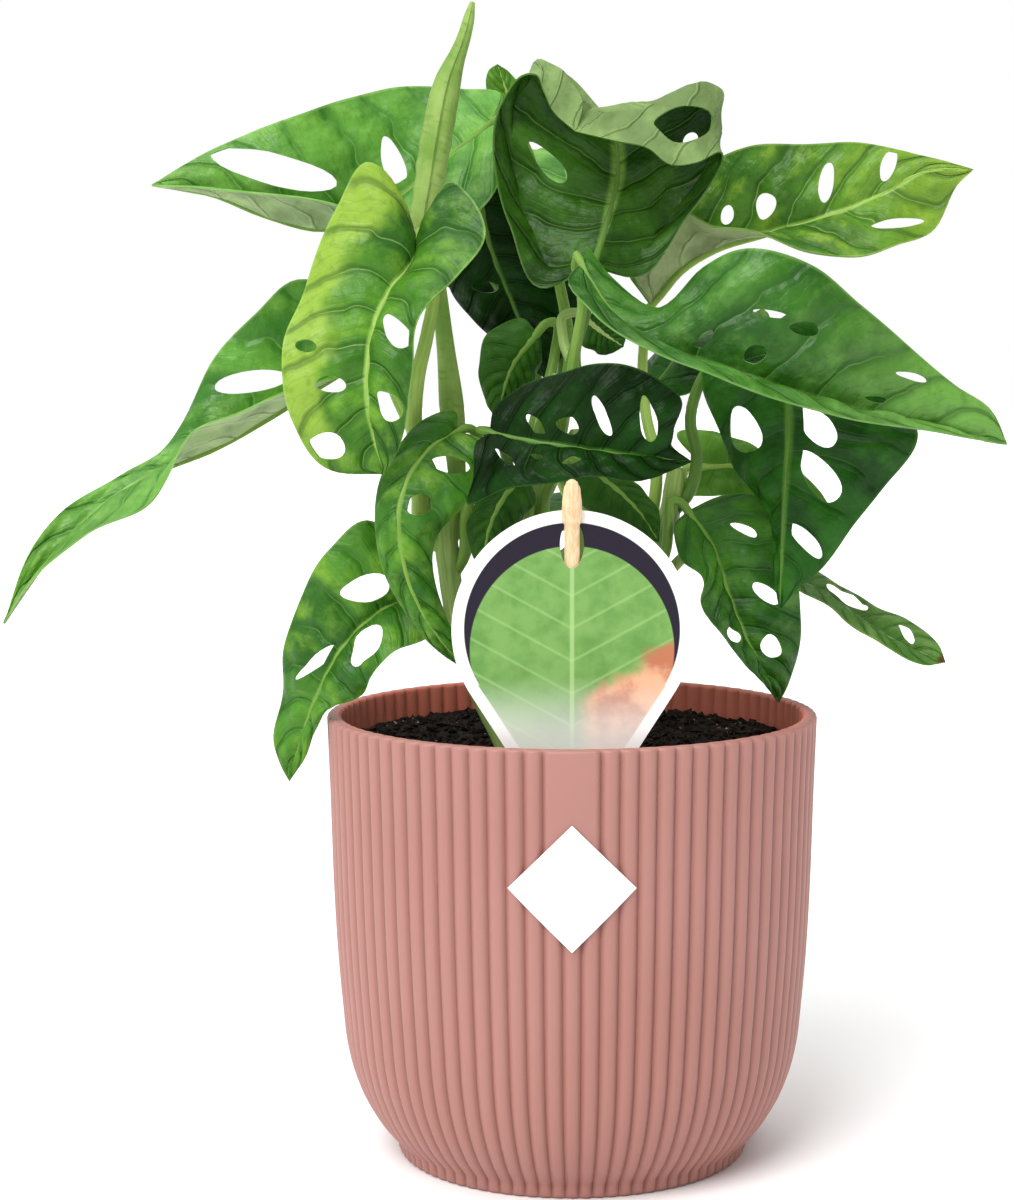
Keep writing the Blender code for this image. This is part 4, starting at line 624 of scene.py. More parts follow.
# Pieces, rings and sheets

def add_to_scene(name, data):
    """A new object in the scene."""
    made = bpy.data.objects.new(name, data)
    bpy.context.scene.collection.objects.link(made)
    return made


def piece(name, points, faces, materials, slot, replaces=(), slots=None, uvs=None, smooth_angle=50):
    """A piece of the plant from points in millimetres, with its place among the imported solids."""
    mesh = bpy.data.meshes.new(name)
    mesh.from_pydata([Vector(point)*MM for point in points], [], faces)
    for item in materials:
        mesh.materials.append(item)
    if slots:
        mesh.polygons.foreach_set("material_index", slots)
    if uvs:
        layer = mesh.uv_layers.new(name="blade")
        flat = []
        for loop in mesh.loops:
            flat.extend(uvs[loop.vertex_index])
        layer.data.foreach_set("uv", flat)
    mesh.shade_smooth()
    mesh.set_sharp_from_angle(angle=radians(smooth_angle))
    made = add_to_scene(name, mesh)
    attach(made, "root")
    if replaces:
        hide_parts(*replaces)


def joined_rings(rings):
    """Points and faces of a closed body from rings that run from its bottom to its top."""
    points = []
    faces = []
    count = len(rings[0])
    for ring in rings:
        points.extend(ring)
    for row in range(len(rings) - 1):
        for i in range(count):
            j = (i + 1) % count
            low = row*count
            faces.append((low + i, low + j, low + count + j, low + count + i))
    faces.append(tuple(reversed(range(count))))
    faces.append(tuple(range((len(rings) - 1)*count, len(rings)*count)))
    return points, faces


def carried_frame(points, side):
    """Side vectors along a path, turned as little as possible from the first one."""
    sides = [side.normalized()]
    for index in range(1, len(points)):
        before = points[index] - points[index - 1]
        after = points[min(index + 1, len(points) - 1)] - points[index]
        tangent = (before.normalized() + after.normalized()).normalized()
        turned = sides[-1] - tangent*sides[-1].dot(tangent)
        sides.append(turned.normalized())
    return sides


def tube(name, path, first_side, grid, reach, material, slot, replaces=(), smooth_angle=50):
    """A body round a path. Its radius is reach(share of the path, centre there, share of the turn)."""
    ring_count, side_count = grid
    knots = lengths(path)
    shares = even(ring_count)
    centres = [spline(knots, path, share) for share in shares]
    rings = []
    for index, (share, centre, side) in enumerate(zip(shares, centres, carried_frame(centres, first_side))):
        ahead = centres[min(index + 1, ring_count - 1)] - centres[max(index - 1, 0)]
        normal = ahead.normalized().cross(side)
        rings.append([centre + (side*cosine + normal*sine)*reach(share, centre, step/side_count)
                      for step, (cosine, sine) in enumerate(circle(side_count))])
    points, faces = joined_rings(rings)
    length = path_length(centres)
    uvs = [(step/side_count, share*length/UV_LENGTH) for share in shares for step in range(side_count)]
    piece(name, points, faces, [material], slot, replaces, uvs=uvs, smooth_angle=smooth_angle)


def closed_edges(count, start=0):
    """Edges of a closed outline whose points are numbered from start."""
    return [(start + i, start + (i + 1) % count) for i in range(count)]


def inside(x, y, outline):
    """Whether a point lies inside a closed outline."""
    crossed = False
    for (ax, ay), (bx, by) in zip(outline, outline[1:] + outline[:1]):
        if (ay > y) != (by > y) and x < (bx - ax)*(y - ay)/(by - ay) + ax:
            crossed = not crossed
    return crossed


def too_near(x, y, outline, gap):
    """Whether a point lies within a gap of a closed outline."""
    for (ax, ay), (bx, by) in zip(outline, outline[1:] + outline[:1]):
        run_x = bx - ax
        run_y = by - ay
        length = run_x**2 + run_y**2
        t = 0.0 if length == 0 else clamp(((x - ax)*run_x + (y - ay)*run_y)/length)
        if hypot(ax + t*run_x - x, ay + t*run_y - y) < gap:
            return True
    return False


def facing_up(points, triangles, holes):
    """The triangles that lie outside the holes, each turned anticlockwise."""
    kept = []
    for a, b, c in triangles:
        centre = (points[a] + points[b] + points[c])/3
        if any(inside(centre.x, centre.y, hole) for hole in holes):
            continue
        turn = (points[b] - points[a]).cross(points[c] - points[a])
        kept.append((a, b, c) if turn > 0 else (a, c, b))
    return kept


def outer_edges(triangles):
    """Edges that only one triangle has, in that triangle's direction."""
    directed = set()
    for a, b, c in triangles:
        directed.update(((a, b), (b, c), (c, a)))
    return [edge for edge in directed if (edge[1], edge[0]) not in directed]


def sheet(tops, undersides, triangles, edge_slot):
    """Points, faces and material numbers of a solid sheet: its top, its underside and its cut edge."""
    count = len(tops)
    faces = list(triangles)
    faces += [(a + count, c + count, b + count) for a, b, c in triangles]
    slots = [0]*len(triangles) + [1]*len(triangles)
    for a, b in outer_edges(triangles):
        faces.append((a, a + count, b + count, b))
        slots.append(edge_slot)
    return tops + undersides, faces, slots


# Stems and stalks

def stem_radius(stem, share):
    return stem.low_radius + (stem.top_radius - stem.low_radius)*share


def stem_at(name, height):
    """Centre and radius of a stem at a height, given as seen from the front."""
    stem = next(item for item in STEMS if item.name == name)
    heights = [point[1] for point in stem.points]
    points = [Vector(point) for point in stem.points]
    share = (height - heights[0])/(heights[-1] - heights[0])
    return place(*spline(heights, points, height)), stem_radius(stem, share)


def beside_stem(foot, room, rise=0.0):
    """The point beside a stem, in the foot's direction, that leaves this much room."""
    stem, height, direction = foot
    out = Vector((cos(radians(direction)), sin(radians(direction)), 0))
    centre, radius = stem_at(stem, height + rise)
    return centre + out*(radius + room)


def stalk_path(item, rib):
    """Points of a stalk from inside the stem, up beside it and on to the blade's base."""
    stem, height, _ = item.foot
    base = rib(0)
    behind = (base - rib(NECK_STEP)).normalized()
    path = [stem_at(stem, height - STALK_ROOT)[0],
            beside_stem(item.foot, item.foot_radius + FOOT_GAP),
            beside_stem(item.foot, item.foot_radius + FOOT_LEAN, FOOT_RUN)]
    path += [place(*point) for point in reversed(item.stalk)]
    return path + [base + behind*NECK_LEAD, base]


def stalk_piece(item, surface, rib):
    """A leaf's stalk, which goes on under the blade as its midrib."""
    path = stalk_path(item, rib)
    base = len(path) - 1
    for share in RIB_SHARES:
        ahead = rib(min(share + RIB_STEP, 1.0)) - rib(share - RIB_STEP)
        across = surface(share, RIB_SPREAD) - surface(share, -RIB_SPREAD)
        up = across.cross(ahead).normalized()
        path.append(rib(share) - up*RIB_SINK*(1 - share))
    knots = lengths(path)
    radius_knots = [0.0, knots[1], knots[base], 1.0]
    radii = [item.foot_radius*STALK_ROOT_SHARE, item.foot_radius, STALK_RADIUS*STALK_NECK_SHARE,
             RIB_TIP_RADIUS]

    def reach(share, centre, turn):
        return level(radius_knots, radii, share)

    tube(item.name + "_stalk", path, RIGHTWARD, STALK_GRID, reach, stalk_material(item.colour),
         SLOT_OF[item.colour])


def stem_piece(stem):
    """A stem with the edge of a sheath down one side and a swelling where each stalk leaves it."""
    feet = [item.foot[1] for item in LEAVES if item.foot[0] == stem.name]

    def reach(share, centre, turn):
        height = seen(centre)[1]
        swell = 1 + sum(NODE_SWELL*exp(-((height - foot)/NODE_LENGTH)**2) for foot in feet)
        radius = stem_radius(stem, share)*min(swell, 1 + NODE_LIMIT)
        if share == 1:
            radius *= STEM_TOP_SHARE
        return radius*(1 + SHEATH_STEP*(turn - 0.5))

    tube(stem.name + "_skin", [place(*point) for point in stem.points], RIGHTWARD, STEM_GRID, reach,
         stalk_material("stem"), "stem", [stem.name], STEM_CREASE)


def spear():
    """The rolled leaf that stands up, with its stalk: its section steps where the roll overlaps."""
    stem, height, _ = SPEAR_FOOT
    path = [stem_at(stem, height - STALK_ROOT)[0], beside_stem(SPEAR_FOOT, SPEAR_FOOT_RADIUS + FOOT_GAP)]
    path += [place(*point) for point in reversed(SPEAR_PATH)]
    foot_share = lengths(path)[1]
    knots = [1 - share*(1 - foot_share) for share, _ in reversed(SPEAR_RADII)]
    radii = [radius for _, radius in reversed(SPEAR_RADII)]

    def reach(share, centre, turn):
        rolled = clamp((share - SPEAR_ROLL_START)/SPEAR_ROLL_LENGTH)
        ripple = sin(SPEAR_WRINKLE_TURNS*share + SPEAR_WRINKLE_SLANT*sin(2*pi*turn))
        fade = exp(-((share - SPEAR_WRINKLE_MIDDLE)/SPEAR_WRINKLE_REACH)**2)
        wave = SPEAR_WRINKLE*rolled*ripple*fade
        return spline(knots, radii, share)*(1 + SPEAR_OVERLAP*rolled*(turn - 0.5) + wave)

    tube("spear_roll", path, FORWARD, SPEAR_GRID, reach, spear_material(), "leaf_pale", ["spear"],
         SPEAR_CREASE)


# Surface of a blade

Half = namedtuple("Half", "side margin holes fold lean")


def halves(item):
    """The right and the left half of a leaf."""
    right_lean, left_lean = item.lean or (0, 0)
    return [Half(1, item.right, item.right_holes, item.right_fold, right_lean),
            Half(-1, item.left, item.left_holes, item.left_fold, left_lean)]


def margin_rail(item, half, rib_knots, rib_points, neck):
    """Knots and points of one margin, from the neck to the tip."""
    knots = [0.0]
    rail = [neck]
    for share, across, up, *depth in half.margin:
        if not depth:
            rib_across, rib_up, rib_depth = spline(rib_knots, rib_points, share)
            shown = hypot(across - rib_across, up - rib_up)
            full = item.half_width*spline(WIDTH_KNOTS, WIDTH_SHARES, share)
            depth = [rib_depth + half.lean*sqrt(max(full**2 - shown**2, 0.0))]
        knots.append(share)
        rail.append(place(across, up, depth[0]))
    knots.append(1.0)
    rail.append(place(*rib_points[-1]))
    return knots, rail


def blade_surface(item):
    """The blade's middle as a function of (share of the rib, place across from -1 to 1), and its rib."""
    rib_points = [Vector(point) for point in item.rib]
    rib_knots = lengths([place(*point) for point in item.rib])

    def rib(share):
        return place(*spline(rib_knots, rib_points, share))

    base = rib(0)
    ahead = rib(NECK_STEP) - base
    ends = []
    for half in halves(item):
        share, across, up, *depth = half.margin[1]
        ends.append(place(across, up, depth[0] if depth else spline(rib_knots, rib_points, share).z))
    to_right = ends[0] - ends[1]
    to_right = (to_right - ahead*to_right.dot(ahead)/ahead.length_squared).normalized()
    rails = {}
    folds = {}
    for half in halves(item):
        neck = base + to_right*(half.side*NECK_HALF)
        rails[half.side] = margin_rail(item, half, rib_knots, rib_points, neck)
        if half.fold:
            folds[half.side] = [entry[0] for entry in half.fold], [place(*entry[1:]) for entry in half.fold]

    def surface(share, out):
        middle = rib(share)
        if out == 0:
            return middle
        side = 1 if out > 0 else -1
        spread = abs(out)
        edge = spline(*rails[side], share)
        if side in folds:
            crease = spline(*folds[side], share)
            if spread < FOLD_AT:
                return middle.lerp(crease, spread/FOLD_AT)
            return crease.lerp(edge, (spread - FOLD_AT)/(1 - FOLD_AT))
        reach = edge - middle
        along = rib(min(share + RIB_STEP, 1)) - rib(max(share - RIB_STEP, 0))
        normal = reach.cross(along.normalized())*side/item.half_width
        bulge = item.arch*4*spread*(1 - spread)
        ripple = item.wave*sin(2*pi*WAVES*share + side)*spread**2*sin(pi*share)
        return middle + reach*spread + normal*(bulge + ripple)

    return surface, rib


# Holes of a blade

def back_holes():
    """Holes of a leaf at the back: a row of ovals on each side of the rib."""
    return [[(share + BACK_HOLE_LONG*cosine + BACK_HOLE_SLANT*sine,
              side*(BACK_HOLE_OUT + BACK_HOLE_WIDE*sine)) for cosine, sine in circle(HOLE_POINTS)]
            for side in (1, -1) for share in BACK_HOLE_SHARES]


def half_table(surface, side, edge):
    """Where one half of a blade is seen from its rib to its edge, at even shares of the rib."""
    rows = []
    for step in range(TABLE_STEPS + 1):
        share = TABLE_START + TABLE_SPAN*step/TABLE_STEPS
        rib_x, rib_z = seen(surface(share, 0))
        edge_x, edge_z = seen(surface(share, side*edge))
        rows.append((share, rib_x, rib_z, edge_x - rib_x, edge_z - rib_z))
    return rows


def find_on_half(table, target, near=None):
    """The (share, out) at which one half of a blade is seen at the target."""
    best = None
    previous = None
    for share, rib_x, rib_z, reach_x, reach_z in table:
        offset_x = target[0] - rib_x
        offset_z = target[1] - rib_z
        miss = reach_x*offset_z - reach_z*offset_x
        out = (reach_x*offset_x + reach_z*offset_z)/(reach_x**2 + reach_z**2)
        if previous and previous[1]*miss <= 0 and previous[1] != miss and out > LEAST_OUT:
            mix = previous[1]/(previous[1] - miss)
            found = (previous[0] + mix*(share - previous[0]), previous[2] + mix*(out - previous[2]))
            worth = abs(found[0] - near[0]) if near else max(found[1] - 1, 0)
            if best is None or worth < best[0]:
                best = (worth, found)
        previous = (share, miss, out)
    return best[1] if best else None


def hole_outline(hole):
    """Points round a slightly uneven, egg-shaped hole, in the two places that the hole is given in."""
    across, up, length, width, tilt = hole
    turn = radians(tilt)
    phase = HOLE_PHASE[0]*across + HOLE_PHASE[1]*up
    outline = []
    for step in range(HOLE_POINTS):
        angle = 2*pi*step/HOLE_POINTS
        waver = 1 + HOLE_WAVER*(sin(2*angle + phase) + HOLE_SECOND_WAVE*sin(3*angle + 2*phase))
        along = length/2*cos(angle)*waver
        over = width/2*sin(angle)*(1 + HOLE_EGG*cos(angle))*waver
        outline.append((across + along*cos(turn) - over*sin(turn),
                        up + along*sin(turn) + over*cos(turn)))
    return outline


def holes_on_blade(item, surface):
    """Outlines of a blade's holes as lists of (share, signed place across)."""
    outlines = [hole_outline(hole) for hole in item.flap_holes]
    for half in halves(item):
        edge = FOLD_AT if half.fold else 1.0
        table = half_table(surface, half.side, edge) if half.holes else []
        for hole in half.holes:
            centre = find_on_half(table, hole[:2])
            if centre is None:
                continue
            outline = []
            for target in hole_outline(hole):
                share, out = find_on_half(table, target, near=centre) or centre
                outline.append((clamp(share, *HOLE_SHARES), half.side*clamp(out, *HOLE_OUTS)*edge))
            outlines.append(outline)
    return outlines


# Leaf blades

def flat_pattern(item, surface, rib, holes):
    """Triangles of the blade laid flat: points as (share, out) and triangles as point numbers."""
    rows = even(ROW_COUNT + 2)[1:-1]
    length = path_length([rib(share) for share in even(LENGTH_STEPS + 1)])

    def half_length(share, out):
        side = 1 if out > 0 else -1
        crease = surface(share, side*FOLD_AT)
        return max((crease - rib(share)).length + (surface(share, side) - crease).length, LEAST_HALF)

    def lay(share, out):
        return (out*half_length(share, out), share*length)

    def is_clear(share, out):
        if half_length(share, out) < HOLE_ROOM*HOLE_SPACING:
            return False
        x, y = lay(share, out)
        return not any(inside(x, y, hole) or too_near(x, y, hole, HOLE_SPACING) for hole in laid_holes)

    border = [(0.0, -1.0), (0.0, 0.0), (0.0, 1.0)]
    border += [(share, 1.0) for share in rows]
    border += [(1.0, 0.0)]
    border += [(share, -1.0) for share in reversed(rows)]
    laid_holes = [[lay(*point) for point in outline] for outline in holes]
    places = border + [(share, 0.0) for share in rows]
    edges = closed_edges(len(border))
    spine = [1, *range(len(border), len(places)), len(rows) + 3]
    edges += list(zip(spine, spine[1:]))
    for outline in holes:
        edges += closed_edges(len(outline), len(places))
        places += outline
    for half in halves(item):
        for column in COLUMNS:
            out = half.side*column
            places += [(share, out) for share in rows if is_clear(share, out)]
        if half.fold:
            numbers = range(len(places), len(places) + len(rows))
            edges += list(zip(numbers, numbers[1:]))
            places += [(share, half.side*FOLD_AT) for share in rows]
    flat = [Vector(lay(*point)) for point in places]
    points, _, triangles, origins, _, _ = delaunay_2d_cdt(flat, edges, [], 1, JOIN_TOLERANCE)
    shares = []
    for index, point in enumerate(points):
        if origins[index]:
            shares.append(places[origins[index][0]])
        else:
            share = min(point.y/length, 1.0)
            shares.append((share, point.x/half_length(share, point.x)))
    return shares, facing_up(points, triangles, laid_holes)


def even_offsets(points, triangles, distance):
    """Offsets of a sheet's points to its top, longer at a crease so that its thickness is even."""
    around = [[] for _ in points]
    for triangle in triangles:
        a, b, c = (points[corner] for corner in triangle)
        normal = (b - a).cross(c - a).normalized()
        for corner, first, second in zip(triangle, (b - a, c - b, a - c), (c - a, a - b, b - c)):
            around[corner].append(normal*first.angle(second, 0.0))
    offsets = []
    for normals in around:
        mean = sum(normals, Vector()).normalized()
        total = sum(normal.length for normal in normals)
        facing = sum(normal.dot(mean) for normal in normals)/total
        offsets.append(mean*distance/max(facing, LEAST_FACING))
    return offsets


def relief(share, out):
    """Height of the blade's own relief: raised between the side veins and sunk along them."""
    spread = abs(out)
    turn = (share - VEIN_SWEEP*spread**VEIN_CURVE)*VEINS + (LEFT_VEIN_SHIFT if out < 0 else 0.0)
    fade = sin(pi*clamp(share))**RELIEF_FADE[0]*sin(pi*min(spread, 1.0)**RELIEF_FADE[1])
    puckers = noise.noise(Vector((share*PUCKER_TURNS[0], out*PUCKER_TURNS[1], PUCKER_SLICE)))
    bulge = 1 - abs(cos(pi*turn))**BULGE_POWER
    return (PUCKER*puckers + RELIEF*(bulge - 0.5))*fade


def blade_piece(item, surface, rib):
    """One leaf's blade with its relief, a paler underside and a light rim."""
    holes = holes_on_blade(item, surface) if item.lean else back_holes()
    shares, triangles = flat_pattern(item, surface, rib, holes)
    middle = [surface(*share) for share in shares]
    upward = even_offsets(middle, triangles, 1.0)
    height = min(item.half_width/FULL_RELIEF_WIDTH, 1.0)
    bent = [point + offset.normalized()*relief(*share)*height
            for point, offset, share in zip(middle, upward, shares)]
    offsets = even_offsets(bent, triangles, BLADE/2)
    tops = [point + offset for point, offset in zip(bent, offsets)]
    undersides = [point - offset for point, offset in zip(bent, offsets)]
    points, faces, slots = sheet(tops, undersides, triangles, edge_slot=2)
    uvs = [(0.5 + out/2, share) for share, out in shares]*2
    tint = OWN_TINTS.get(item.name, item.colour)
    piece(item.name + "_blade", points, faces, (blade_top(tint), blade_under(tint), blade_rim(tint)),
          SLOT_OF[item.colour], [item.name], slots, uvs, BLADE_CREASE)


# Pot

def pot_radius(height):
    """Outer radius of the pot over its ribs."""
    return spline([point[1] for point in POT_PROFILE], [point[0] for point in POT_PROFILE], height)


def flute(step):
    """How deep a rounded rib falls away at a step round it: 0 on its crest and greatest in the groove."""
    from_crest = abs((step/RIB_STEPS + 0.5) % 1.0 - 0.5)*2
    return FLUTE_GAIN*from_crest**FLUTE_POWER


def pot_ring(radius, height, groove, panel=0.0, inward=False):
    """Points round the pot from the front; panel is how far the plain panel is filled in."""
    total = RIB_COUNT*RIB_STEPS
    points = []
    for step in range(total):
        angle = -pi/2 + 2*pi*step/total
        depth = groove*flute(step)
        turned = min(step, total - step)/RIB_STEPS*2
        if turned < PANEL_HALF_RIBS - PANEL_MARGIN:
            depth *= 1 - panel
        reach = radius + (depth if inward else -depth)
        points.append((reach*cos(angle), reach*sin(angle), height))
    return points


def side_heights():
    """Heights of the pot's rings from above its foot to the panel, closer together where it curves."""
    height = FOOT_TOP
    while height < PANEL_BOTTOM - PANEL_FADE:
        yield height
        height += next(step for limit, step in RING_STEPS if height < limit)


def pot():
    """The cup with its rounded ribs, the plain panel at the front and the ribbed inside of the rim."""
    rings = [pot_ring(radius, height, RIB_DEPTH*share) for radius, height, share in POT_FOOT]
    rings += [pot_ring(pot_radius(height), height, RIB_DEPTH) for height in side_heights()]
    for fill in even(PANEL_STEPS + 1):
        height = PANEL_BOTTOM - PANEL_FADE*(1 - fill)
        rings.append(pot_ring(pot_radius(height), height, RIB_DEPTH, panel=fill))
    rings.append(pot_ring(pot_radius(TOP_RING), TOP_RING, RIB_DEPTH, panel=1.0))
    top_radius, top = POT_PROFILE[-1]
    rounding = [(share, 1 - cos(pi/2*share), 1 - sin(pi/2*share)) for share in even(RIM_STEPS + 1)]
    for share, fall, drop in rounding:
        rings.append(pot_ring(top_radius - RIM_ROUNDING*fall, top - RIM_ROUNDING*drop,
                              RIB_DEPTH*(1 - RIM_RIB_LOSS*share), panel=1.0))
    for share, drop, rise in rounding:
        depth = INNER_RIB_DEPTH*(INNER_RIB_START + (1 - INNER_RIB_START)*share)
        rings.append(pot_ring(top_radius - WALL + RIM_ROUNDING*rise, top - RIM_ROUNDING*drop, depth,
                              inward=True))
    height = SOIL_TOP - INNER_RIB_DROP
    rings.append(pot_ring(pot_radius(height) - WALL, height, INNER_RIB_DEPTH, inward=True))
    rings += [pot_ring(pot_radius(height) - WALL, height, 0.0) for height in INSIDE_HEIGHTS]
    rings.append(pot_ring(pot_radius(INSIDE_HEIGHTS[-1]) - WALL - FLOOR_INSET, FLOOR_INSIDE, 0.0))
    points, faces = joined_rings(rings)
    piece("pot_cup", points, faces, [pot_material()], "pot", ["pot"], smooth_angle=POT_CREASE)


# Soil

def soil_height(x, y):
    """Height of the soil's surface, with its lumps."""
    lump = sin(SOIL_WAVES[0]*x + SOIL_PHASES[0])*cos(SOIL_WAVES[1]*y + SOIL_PHASES[1])
    lump += SOIL_SECOND_WAVE*sin(SOIL_WAVES[2]*y + SOIL_WAVES[3]*x)
    rough = 0.0
    for height, turns, cut in SOIL_ROUGHNESS:
        rough += height*noise.noise(Vector((x*turns, y*turns, cut)))
    return SOIL_TOP + SOIL_LUMP*lump + rough


def soil():
    """The top of the potting mix and the wall below it, down inside the pot."""
    rings = []
    lowest = INSIDE_HEIGHTS[-1]
    for height in (FLOOR_INSIDE + SOIL_CLEARANCE, *reversed(INSIDE_HEIGHTS), SOIL_TOP - SOIL_EDGE_DROP):
        radius = pot_radius(max(height, lowest)) - WALL - 2*SOIL_CLEARANCE
        if height < lowest:
            radius -= SOIL_INSET
        rings.append([(radius*cosine, radius*sine, height) for cosine, sine in circle(SOIL_SIDES)])
    for row in range(SOIL_ROWS, 0, -1):
        radius = SOIL_RADIUS*row/SOIL_ROWS
        rings.append([(radius*cosine, radius*sine, soil_height(radius*cosine, radius*sine))
                      for cosine, sine in circle(SOIL_SIDES)])
    points, faces = joined_rings(rings)
    piece("soil_bed", points, faces, [soil_material()], "soil", ["soil"], smooth_angle=SOIL_CREASE)


def grains(name, count, sizes, material, draw):
    """Loose angular grains on the soil, each a small lump with its own shape."""
    points = []
    faces = []
    for _ in range(count):
        radius = SOIL_RADIUS*GRAIN_REACH*sqrt(draw.random())
        angle = 2*pi*draw.random()
        x = radius*cos(angle)
        y = radius*sin(angle)
        size = sizes[0] + (sizes[1] - sizes[0])*draw.random()**2
        turn = Matrix.Rotation(2*pi*draw.random(), 3, "Z") @ Matrix.Rotation(pi*draw.random(), 3, "X")
        stretch = [least + spread*draw.random() for least, spread in GRAIN_STRETCH]
        centre = Vector((x, y, soil_height(x, y) + size*GRAIN_LIFT))
        start = len(points)
        for corner in GRAIN_CORNERS:
            local = Vector([value*scale for value, scale in zip(corner, stretch)])
            local *= size*(1 - GRAIN_WAVER/2 + GRAIN_WAVER*draw.random())
            points.append(centre + turn @ local)
        faces += [(start + a, start + b, start + c) for a, b, c in GRAIN_FACES]
    piece(name, points, faces, [material], "soil", smooth_angle=GRAIN_CREASE)


# Label, stake and sticker

def label_outline():
    """Outline of the label: a round head that narrows to a foot in the soil."""
    head = LABEL_TOP - LABEL_HALF_WIDTH
    outline = []
    for degrees in LABEL_ARC:
        turn = radians(degrees)
        outline.append((LABEL_HALF_WIDTH*cos(turn), head + LABEL_HALF_WIDTH*sin(turn)))
    shoulder, shoulder_height = LABEL_SHOULDER
    foot, bottom = LABEL_FOOT
    return outline + [(-shoulder, shoulder_height), (-foot, bottom), (foot, bottom),
                      (shoulder, shoulder_height)]


def label():
    """The printed card with its oval hole, a plain back and clean cut edges."""
    outline = label_outline()
    oval = [(LABEL_HOLE_WIDTH/2*cosine, LABEL_HOLE_HEIGHT + LABEL_HOLE_LENGTH/2*sine)
            for cosine, sine in circle(LABEL_HOLE_STEPS)]
    flat = [Vector(point) for point in outline + oval]
    edges = closed_edges(len(outline)) + closed_edges(len(oval), len(outline))
    points, _, triangles, _, _, _ = delaunay_2d_cdt(flat, edges, [], 1, JOIN_TOLERANCE)
    front, back = ([(point.x, LABEL_DEPTH + side*LABEL_THICKNESS/2, point.y) for point in points]
                   for side in (-1, 1))
    body, faces, slots = sheet(front, back, facing_up(points, triangles, [oval]), edge_slot=1)
    piece("label_card", body, faces, [label_print(), card_material()], "label", ["label"], slots,
          smooth_angle=LABEL_CREASE)


def stake():
    """The wooden peg: its notch sits in the label's hole and its foot is in the soil behind."""
    ahead = Vector((0, -STAKE_SLOPE, 1)).normalized()
    over = Vector((0, ahead.z, -ahead.y))
    rings = []
    for low, high in zip(STAKE_STATIONS, STAKE_STATIONS[1:]):
        parts = STAKE_LONG_PARTS if high[0] - low[0] > STAKE_LONG_SPAN else STAKE_SHORT_PARTS
        for part in range(parts + (high is STAKE_STATIONS[-1])):
            share = part/parts
            smooth = share*share*(3 - 2*share)
            height = low[0] + (high[0] - low[0])*share
            half_width = low[1] + (high[1] - low[1])*smooth
            half_depth = low[2] + (high[2] - low[2])*smooth
            centre = Vector((0, LABEL_DEPTH + STAKE_SLOPE*(LABEL_HOLE_HEIGHT - height), height))
            rings.append([centre + RIGHTWARD*half_width*cosine + over*half_depth*sine
                          for cosine, sine in circle(STAKE_SIDES)])
    points, faces = joined_rings(rings)
    piece("stake_peg", points, faces, [wood_material()], "stake", ["stake"])


def sticker():
    """The bare film that stands on its corner and wraps the front of the pot."""
    count = STICKER_STEPS + 1
    outer = []
    inner = []
    for first in even(count):
        for second in even(count):
            across = STICKER_HALF_DIAGONAL*(first - second)
            height = STICKER_HEIGHT + STICKER_HALF_DIAGONAL*(first + second - 1)
            radius = pot_radius(height) + STICKER_GAP
            angle = -pi/2 + across/radius
            edge = min(first, 1 - first, second, 1 - second)*STICKER_STEPS
            inner.append((radius*cos(angle), radius*sin(angle), height))
            radius += STICKER_THICKNESS*(STICKER_EDGE + (1 - STICKER_EDGE)*min(edge, 1.0))
            outer.append((radius*cos(angle), radius*sin(angle), height))
    total = count*count
    faces = []
    for row in range(STICKER_STEPS):
        for column in range(STICKER_STEPS):
            a = row*count + column
            b = a + 1
            c = b + count
            d = a + count
            faces.append((a, d, c, b))
            faces.append((a + total, b + total, c + total, d + total))
    rim = list(range(count))
    rim += [row*count + STICKER_STEPS for row in range(1, count)]
    rim += [STICKER_STEPS*count + column for column in range(STICKER_STEPS - 1, -1, -1)]
    rim += [row*count for row in range(STICKER_STEPS - 1, 0, -1)]
    for a, b in zip(rim, rim[1:] + rim[:1]):
        faces.append((a, b, b + total, a + total))
    piece("sticker_film", outer + inner, faces, [sticker_material()], "sticker", ["sticker"],
          smooth_angle=STICKER_CREASE)


# Nodes

def linear(red, green, blue):
    """A display colour from 0 to 1 as scene light."""
    parts = []
    for value in (red, green, blue):
        parts.append(value/12.92 if value <= 0.04045 else ((value + 0.055)/1.055)**2.4)
    return (*parts, 1.0)


